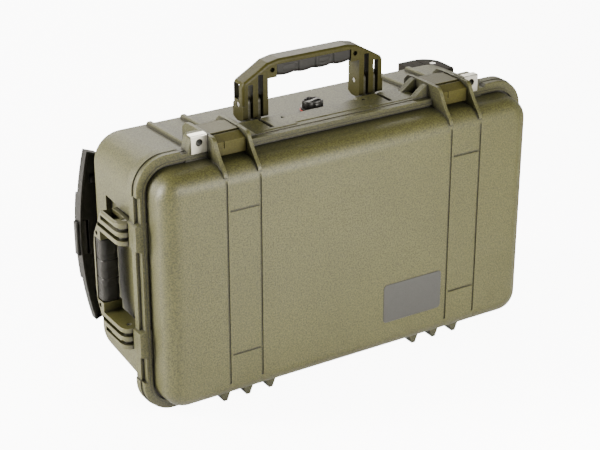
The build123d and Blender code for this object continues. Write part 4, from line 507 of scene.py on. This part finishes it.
new_piece("side_handle_rubber", side_grip,
          soft_rubber("black grip rubber", SIDE_GRIP_COLOUR, roughness=0.42, gloss=0.3),
          "side_handle", "side_handle_grip")

# ---- Pressure valve ---------------------------------------------------------------------
# A black nylon purge valve screwed into the base, with a lobed knob over its vent and a
# red silicone ring under its flange.
VALVE_BLACK = (0.019, 0.018, 0.017)
SILICONE_RED = (0.62, 0.035, 0.010)
SILICONE_BORE_RADIUS = 0.0075
RING_STEPS = 64
RING_SECTION_POINTS = 12
RING_FLATTENING = 1.15
KNOB_LOBES = 6
KNOB_SCALLOP_RADIUS = 0.004
KNOB_SCALLOP_REACH = 0.015
KNOB_STEPS = 144
KNOB_SIDE = ((0.985, 0.0), (1.0, 0.06), (1.0, 0.66), (0.985, 0.80), (0.95, 0.92), (0.90, 0.985),
             (0.85, 1.0), (0.80, 0.985), (0.775, 0.92), (0.76, 0.80))
KNOB_DISH_SHARE = 0.75
KNOB_DISH_LEVEL = 0.70
KNOB_BAR_LEVEL = 0.98
KNOB_BAR_HALF_WIDTH = 0.0018
KNOB_BAR_SLOPE = 0.0010
KNOB_BAR_TURN = radians(20)
KNOB_TOP_RINGS = 22
valve_nylon = moulded_resin("black valve nylon", VALVE_BLACK, roughness=0.36, pebble=500.0, relief=0.15,
                            edge_wear_and_highlight=0.8, painted_shade=0.4, gloss=0.45)
dress(valve_nylon, "valve_body")


def turned_rings(centre, section, steps):
    """Rings of a section of (radius, height) points turned round an upright axis."""
    rings = []
    for step in range(steps):
        angle = 2 * pi * step / steps
        rings.append([Vector(centre) + Vector((radius * cos(angle), radius * sin(angle), height))
                      for radius, height in section])
    return rings


ring_low, ring_high = (Vector(corner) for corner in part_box("valve_seal"))
ring_mid = (ring_low + ring_high) / 2
ring_outer_radius = (ring_high.x - ring_low.x) / 2
ring_half_width = (ring_outer_radius - SILICONE_BORE_RADIUS) / 2
silicone_section = []
for index in range(RING_SECTION_POINTS):
    around = 2 * pi * index / RING_SECTION_POINTS
    across = max(-1, min(1, RING_FLATTENING * cos(around)))
    silicone_section.append((SILICONE_BORE_RADIUS + ring_half_width * (1 + across),
                             (ring_high.z - ring_low.z) / 2 * sin(around)))
knob_low, knob_high = (Vector(corner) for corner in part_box("valve_knob"))
knob_middle = (knob_low + knob_high) / 2
knob_radius = (knob_high.y - knob_low.y) / 2
knob_height = knob_high.z - knob_low.z


def knob_outline(angle):
    """Radius of the knob's scalloped edge at an angle."""
    apart = (angle + pi / KNOB_LOBES) % (2 * pi / KNOB_LOBES) - pi / KNOB_LOBES
    inside = KNOB_SCALLOP_RADIUS ** 2 - (KNOB_SCALLOP_REACH * sin(apart)) ** 2
    if inside <= 0:
        return knob_radius
    return min(knob_radius, KNOB_SCALLOP_REACH * cos(apart) - inside ** 0.5)


def knob_ring(share, level):
    """Points round the knob at a share of its radius; a level of None follows the dished top."""
    ring = []
    for step in range(KNOB_STEPS):
        angle = 2 * pi * step / KNOB_STEPS
        x = share * knob_outline(angle) * cos(angle)
        y = share * knob_outline(angle) * sin(angle)
        height = level
        if level is None:
            across = abs(y * cos(KNOB_BAR_TURN) - x * sin(KNOB_BAR_TURN))
            slope = min(1.0, max(0.0, (KNOB_BAR_HALF_WIDTH + KNOB_BAR_SLOPE - across) / KNOB_BAR_SLOPE))
            height = KNOB_DISH_LEVEL + (KNOB_BAR_LEVEL - KNOB_DISH_LEVEL) * slope * slope * (3 - 2 * slope)
        ring.append(Vector((knob_middle.x + x, knob_middle.y + y, knob_low.z + height * knob_height)))
    return ring


knob_rings = [knob_ring(share, level) for share, level in KNOB_SIDE]
for step in range(KNOB_TOP_RINGS):
    knob_rings.append(knob_ring(KNOB_DISH_SHARE * (1 - step / KNOB_TOP_RINGS), None))
new_piece("valve_knob_cap", ringed_mesh("valve knob cap", knob_rings), valve_nylon, "valve", "valve_knob")
silicone_rings = turned_rings(ring_mid, silicone_section, RING_STEPS)
new_piece("valve_silicone_ring", ringed_mesh("valve silicone ring", silicone_rings, looped=True),
          soft_rubber("red silicone", SILICONE_RED, roughness=0.35, gloss=0.5), "base", "valve_seal")

# ---- Trolley ----------------------------------------------------------------------------
# Three stages of black anodised tube slide in nylon brackets that are screwed to the back.
# The grip at the left end is a black nylon channel with a push button in its middle, and
# plugs in the inner tubes' ends fill the grip's two sockets.
TUBE_BLACK = (0.055, 0.055, 0.058)
TROLLEY_BLACK = (0.0075, 0.007, 0.0062)
BUTTON_GREY = (0.022, 0.021, 0.020)
PLUG_PROFILE = ((-0.2490, 0.0046), (-0.2487, 0.0054), (-0.2480, 0.0059), (-0.2440, 0.0059),
                (-0.2372, 0.0059), (-0.2370, 0.0056))
PLUG_STEPS = 32
dress(drawn_metal("black anodised tube", TUBE_BLACK, roughness=0.36, lines=DRAWN_ALONG_X),
      "trolley_outer_tubes", "trolley_middle_tubes", "trolley_inner_tubes")
dress(moulded_resin("black trolley nylon", TROLLEY_BLACK, roughness=0.42, relief=0.25, edge_wear_and_highlight=0.5,
                    painted_shade=0.6, gloss=0.35), "trolley_guide", "trolley_end_bracket", "trolley_grip")
dress(moulded_resin("grey button nylon", BUTTON_GREY, roughness=0.45, edge_wear_and_highlight=0.5, gloss=0.4),
      "trolley_button")

plug_nylon = moulded_resin("tube plug nylon", TROLLEY_BLACK, roughness=0.5, relief=0.2, gloss=0.2)
tubes_low, tubes_high = (Vector(corner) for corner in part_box("trolley_inner_tubes"))
tube_radius = (tubes_high.y - tubes_low.y) / 2
for place, plug_z in (("upper", tubes_high.z - tube_radius), ("lower", tubes_low.z + tube_radius)):
    plug_rings = []
    for x, radius in PLUG_PROFILE:
        ring = []
        for step in range(PLUG_STEPS):
            turn = 2 * pi * step / PLUG_STEPS
            ring.append(Vector((x, tubes_low.y + tube_radius + radius * cos(turn),
                                plug_z + radius * sin(turn))))
        plug_rings.append(ring)
    new_piece("tube_plug_" + place, ringed_mesh("tube plug " + place, plug_rings), plug_nylon,
              "trolley_inner")

# ---- Screws -----------------------------------------------------------------------------
# Steel pan-head screws with a cross recess hold the trolley's brackets and the wheel
# housings to the base. Each is turned to its own angle, as a hand driver leaves it.
SCREW_HEAD_HEIGHT = 0.0022
SCREW_PROFILE = ((0.0014, -0.0080), (0.0020, -0.0072), (0.0020, 0.0), (0.0040, 0.0),
                 (0.0040, 0.0008), (0.0037, 0.0014), (0.0031, 0.0019), (0.0022, 0.0022))
SCREW_STEPS = 24
SCREW_TURN_SEED = 7
SCREW_SETTINGS = {"Recess length": 0.0044, "Recess width": 0.0009, "Recess depth": 0.0011}
screw_tree = bpy.data.node_groups.new("screws in their places", "GeometryNodeTree")
for socket, kind in (("Places", "NodeSocketGeometry"), ("Screw", "NodeSocketObject"),
                     ("Recess length", "NodeSocketFloat"), ("Recess width", "NodeSocketFloat"),
                     ("Recess depth", "NodeSocketFloat"), ("Steel", "NodeSocketMaterial")):
    screw_tree.interface.new_socket(socket, in_out="INPUT", socket_type=kind)
screw_tree.interface.new_socket("Screws", in_out="OUTPUT", socket_type="NodeSocketGeometry")
tree_nodes = screw_tree.nodes
tree_link = screw_tree.links.new
given = tree_nodes.new("NodeGroupInput").outputs
blank = tree_nodes.new("GeometryNodeObjectInfo")
tree_link(given["Screw"], blank.inputs["Object"])
recessed = tree_nodes.new("GeometryNodeMeshBoolean")
recessed.operation = "DIFFERENCE"
tree_link(blank.outputs["Geometry"], recessed.inputs["Mesh 1"])
for wide, deep in (("Recess length", "Recess width"), ("Recess width", "Recess length")):
    size = tree_nodes.new("ShaderNodeCombineXYZ")
    tree_link(given[wide], size.inputs["X"])
    tree_link(given[deep], size.inputs["Y"])
    tree_link(given["Recess depth"], size.inputs["Z"])
    bar = tree_nodes.new("GeometryNodeMeshCube")
    tree_link(size.outputs["Vector"], bar.inputs["Size"])
    lifted = tree_nodes.new("GeometryNodeTransform")
    lifted.inputs["Translation"].default_value = (0, 0, SCREW_HEAD_HEIGHT)
    tree_link(bar.outputs["Mesh"], lifted.inputs["Geometry"])
    tree_link(lifted.outputs["Geometry"], recessed.inputs["Mesh 2"])
placed = tree_nodes.new("GeometryNodeInstanceOnPoints")
placed.inputs["Rotation"].default_value = (-pi / 2, 0, 0)
tree_link(given["Places"], placed.inputs["Points"])
tree_link(recessed.outputs["Mesh"], placed.inputs["Instance"])
turn = tree_nodes.new("FunctionNodeRandomValue")
turn.data_type = "FLOAT_VECTOR"
turn.inputs["Min"].default_value = (0, 0, 0)
turn.inputs["Max"].default_value = (0, 0, pi / 2)
turn.inputs["Seed"].default_value = SCREW_TURN_SEED
driven = tree_nodes.new("GeometryNodeRotateInstances")
tree_link(placed.outputs["Instances"], driven.inputs["Instances"])
tree_link(turn.outputs["Value"], driven.inputs["Rotation"])
solid = tree_nodes.new("GeometryNodeRealizeInstances")
tree_link(driven.outputs["Instances"], solid.inputs["Geometry"])
finished = tree_nodes.new("GeometryNodeSetMaterial")
tree_link(solid.outputs["Geometry"], finished.inputs["Geometry"])
tree_link(given["Steel"], finished.inputs["Material"])
tree_link(finished.outputs["Geometry"], tree_nodes.new("NodeGroupOutput").inputs["Screws"])

screw_rings = []
for radius, height in SCREW_PROFILE:
    turns = [2 * pi * step / SCREW_STEPS for step in range(SCREW_STEPS)]
    screw_rings.append([Vector((radius * cos(turn), radius * sin(turn), height)) for turn in turns])
screw_blank = bpy.data.objects.new("screw blank", ringed_mesh("screw blank", screw_rings))
bpy.context.scene.collection.objects.link(screw_blank)


def drive_screws(name, node):
    """Four screws at the corners of the node's box, with their heads towards the back."""
    low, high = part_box(node)
    head = max(radius for radius, height in SCREW_PROFILE)
    places = bpy.data.meshes.new(name + " places")
    corners = [(x, high[1] - SCREW_HEAD_HEIGHT, z) for x in (low[0] + head, high[0] - head)
               for z in (low[2] + head, high[2] - head)]
    places.from_pydata(corners, [], [])
    holder = bpy.data.objects.new(name + " places", places)
    bpy.context.scene.collection.objects.link(holder)
    modifier = holder.modifiers.new("screws", "NODES")
    modifier.node_group = screw_tree
    values = dict(SCREW_SETTINGS, Screw=screw_blank, Steel=pin_steel)
    for socket in screw_tree.interface.items_tree:
        if socket.name in values:
            modifier[socket.identifier] = values[socket.name]
    mesh = bpy.data.meshes.new_from_object(holder.evaluated_get(bpy.context.evaluated_depsgraph_get()))
    bpy.data.objects.remove(holder)
    new_piece(name, mesh, pin_steel, "base", node)


drive_screws("bracket_screw_set", "trolley_screws")
drive_screws("housing_screw_set", "housing_screws")
bpy.data.objects.remove(screw_blank)

# ---- Wheels -----------------------------------------------------------------------------
# Two solid wheels turn in dark grey housings let into the right-hand back corners: nylon
# hubs with a hard rubber tread, crowned a little, with the mould's line round its middle.
HOUSING_GREY = (0.020, 0.0172, 0.0135)
HUB_BLACK = (0.020, 0.020, 0.019)
TREAD_BLACK = (0.020, 0.020, 0.019)
TREAD_THICKNESS = 0.006
TREAD_SHOULDER = 0.003
TREAD_CROWN = 0.0004
TREAD_LINE_HEIGHT = 0.00015
TREAD_LINE_WIDTH = 0.0005
TREAD_STEPS = 96
TREAD_SHOULDER_STEPS = 6
TREAD_HALF_CROWN_STEPS = 8
dress(moulded_resin("grey housing nylon", HOUSING_GREY, roughness=0.6, edge_wear_and_highlight=0.4, gloss=0.08),
      "wheel_housing_upper", "wheel_housing_lower")
dress(moulded_resin("hub nylon", HUB_BLACK, roughness=0.40, gloss=0.5),
      "wheel_hub_upper", "wheel_hub_lower")
tread_rubber = soft_rubber("tread rubber", TREAD_BLACK, roughness=0.7)


def tread_section(radius, half_width):
    """Outline of the tread: a flat bore, rounded shoulders and a crown with a thin line."""
    bore = radius - TREAD_THICKNESS
    section = [(bore, -half_width + TREAD_SHOULDER / 2), (bore, half_width - TREAD_SHOULDER / 2)]
    arc = [pi / 2 * step / TREAD_SHOULDER_STEPS for step in range(TREAD_SHOULDER_STEPS + 1)]
    for side in (1, -1):
        for angle in arc if side > 0 else reversed(arc):
            section.append((radius - TREAD_CROWN - TREAD_SHOULDER * (1 - sin(angle)),
                            side * (half_width - TREAD_SHOULDER * (1 - cos(angle)))))
        if side > 0:
            for step in range(-TREAD_HALF_CROWN_STEPS, TREAD_HALF_CROWN_STEPS + 1):
                share = step / TREAD_HALF_CROWN_STEPS
                across = share * (half_width - TREAD_SHOULDER)
                line = TREAD_LINE_HEIGHT * exp(-(across / TREAD_LINE_WIDTH) ** 2)
                crown = TREAD_CROWN * (1 - share ** 2) - TREAD_LINE_HEIGHT
                section.append((radius - TREAD_CROWN + max(0.0, crown) + line, -across))
    return section


for place in ("upper", "lower"):
    tyre_low, tyre_high = (Vector(corner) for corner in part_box("wheel_tyre_" + place))
    tyre_size = tyre_high - tyre_low
    section = tread_section(tyre_size.x / 2, tyre_size.z / 2)
    tread_rings = turned_rings((tyre_low + tyre_high) / 2, section, TREAD_STEPS)
    new_piece("tread_" + place, ringed_mesh("tread " + place, tread_rings, looped=True), tread_rubber,
              "wheel_" + place, "wheel_tyre_" + place)

# ---- Foam -------------------------------------------------------------------------------
# Charcoal foam lines the case: a thick floor, a cut-out tray round the laptop, and a pad of
# egg-crate foam in the lid. Blocks are cut oversize, so their faces swell between the edges.
FOAM_COLOUR = (0.030, 0.030, 0.032)
FOAM_TRIM = 0.0018
FOAM_GRAIN = 0.0055
FOAM_SWELL_LIMIT = 0.0016
FOAM_PRESSURE = 4.0
FOAM_FRAMES = 20
EGG_PITCH = 0.034
EGG_DEPTH = 0.011
FOAM_WELD = 1e-6
NO_MOVE = 1e-9
foam_skin = soft_rubber("charcoal foam", FOAM_COLOUR, roughness=0.95, pores=700.0, relief=0.8, gloss=0.2)


def settled_mesh(piece):
    """The piece's mesh with its modifiers worked out."""
    return bpy.data.meshes.new_from_object(piece.evaluated_get(bpy.context.evaluated_depsgraph_get()))


def swell(piece):
    """Blows the block up a little against its own skin, with each point's move kept short."""
    rest = [vertex.co.copy() for vertex in piece.data.vertices]
    cloth = piece.modifiers.new("swell", "CLOTH")
    cloth.settings.use_pressure = True
    cloth.settings.uniform_pressure_force = FOAM_PRESSURE
    cloth.settings.effector_weights.gravity = 0.0
    cloth.point_cache.frame_end = FOAM_FRAMES
    for number in range(1, FOAM_FRAMES + 1):
        bpy.context.scene.frame_set(number)
    swollen = settled_mesh(piece)
    piece.modifiers.remove(cloth)
    bpy.context.scene.frame_set(1)
    for vertex, start, end in zip(piece.data.vertices, rest, swollen.vertices):
        move = end.co - start
        vertex.co = start + move * min(1.0, FOAM_SWELL_LIMIT / max(move.length, NO_MOVE))


def foam_block(name, node, body, egg_crate=False):
    """A soft block in place of a CAD foam node, cut a little small and then swollen."""
    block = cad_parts[node].data.copy()
    form = bmesh.new()
    form.from_mesh(block)
    bmesh.ops.remove_doubles(form, verts=form.verts, dist=FOAM_WELD)
    form.normal_update()
    for vertex, normal in [(vertex, vertex.normal.copy()) for vertex in form.verts]:
        vertex.co -= FOAM_TRIM * normal
    form.to_mesh(block)
    form.free()
    piece = new_piece(name, block, foam_skin, body, node)
    grain = piece.modifiers.new("grain", "REMESH")
    grain.mode = "VOXEL"
    grain.voxel_size = FOAM_GRAIN
    piece.data = settled_mesh(piece)
    piece.modifiers.remove(grain)
    if egg_crate:
        inner_y = max(vertex.co.y for vertex in piece.data.vertices)
        middle_y = (inner_y + min(vertex.co.y for vertex in piece.data.vertices)) / 2
        for vertex in piece.data.vertices:
            share = max(0.0, (vertex.co.y - middle_y) / (inner_y - middle_y))
            wave = cos(2 * pi * vertex.co.x / EGG_PITCH) * cos(2 * pi * vertex.co.z / EGG_PITCH)
            vertex.co.y -= share * EGG_DEPTH * (1 - wave) / 2
    swell(piece)
    smooth = piece.modifiers.new("smooth", "SUBSURF")
    smooth.levels = 1
    smooth.render_levels = 1
    piece.data = settled_mesh(piece)
    piece.modifiers.remove(smooth)
    piece.data.shade_smooth()


foam_block("foam_floor_block", "foam_floor", "base")
foam_block("laptop_tray_foam", "foam_insert", "base")
foam_block("egg_crate_foam", "lid_foam", "lid", egg_crate=True)
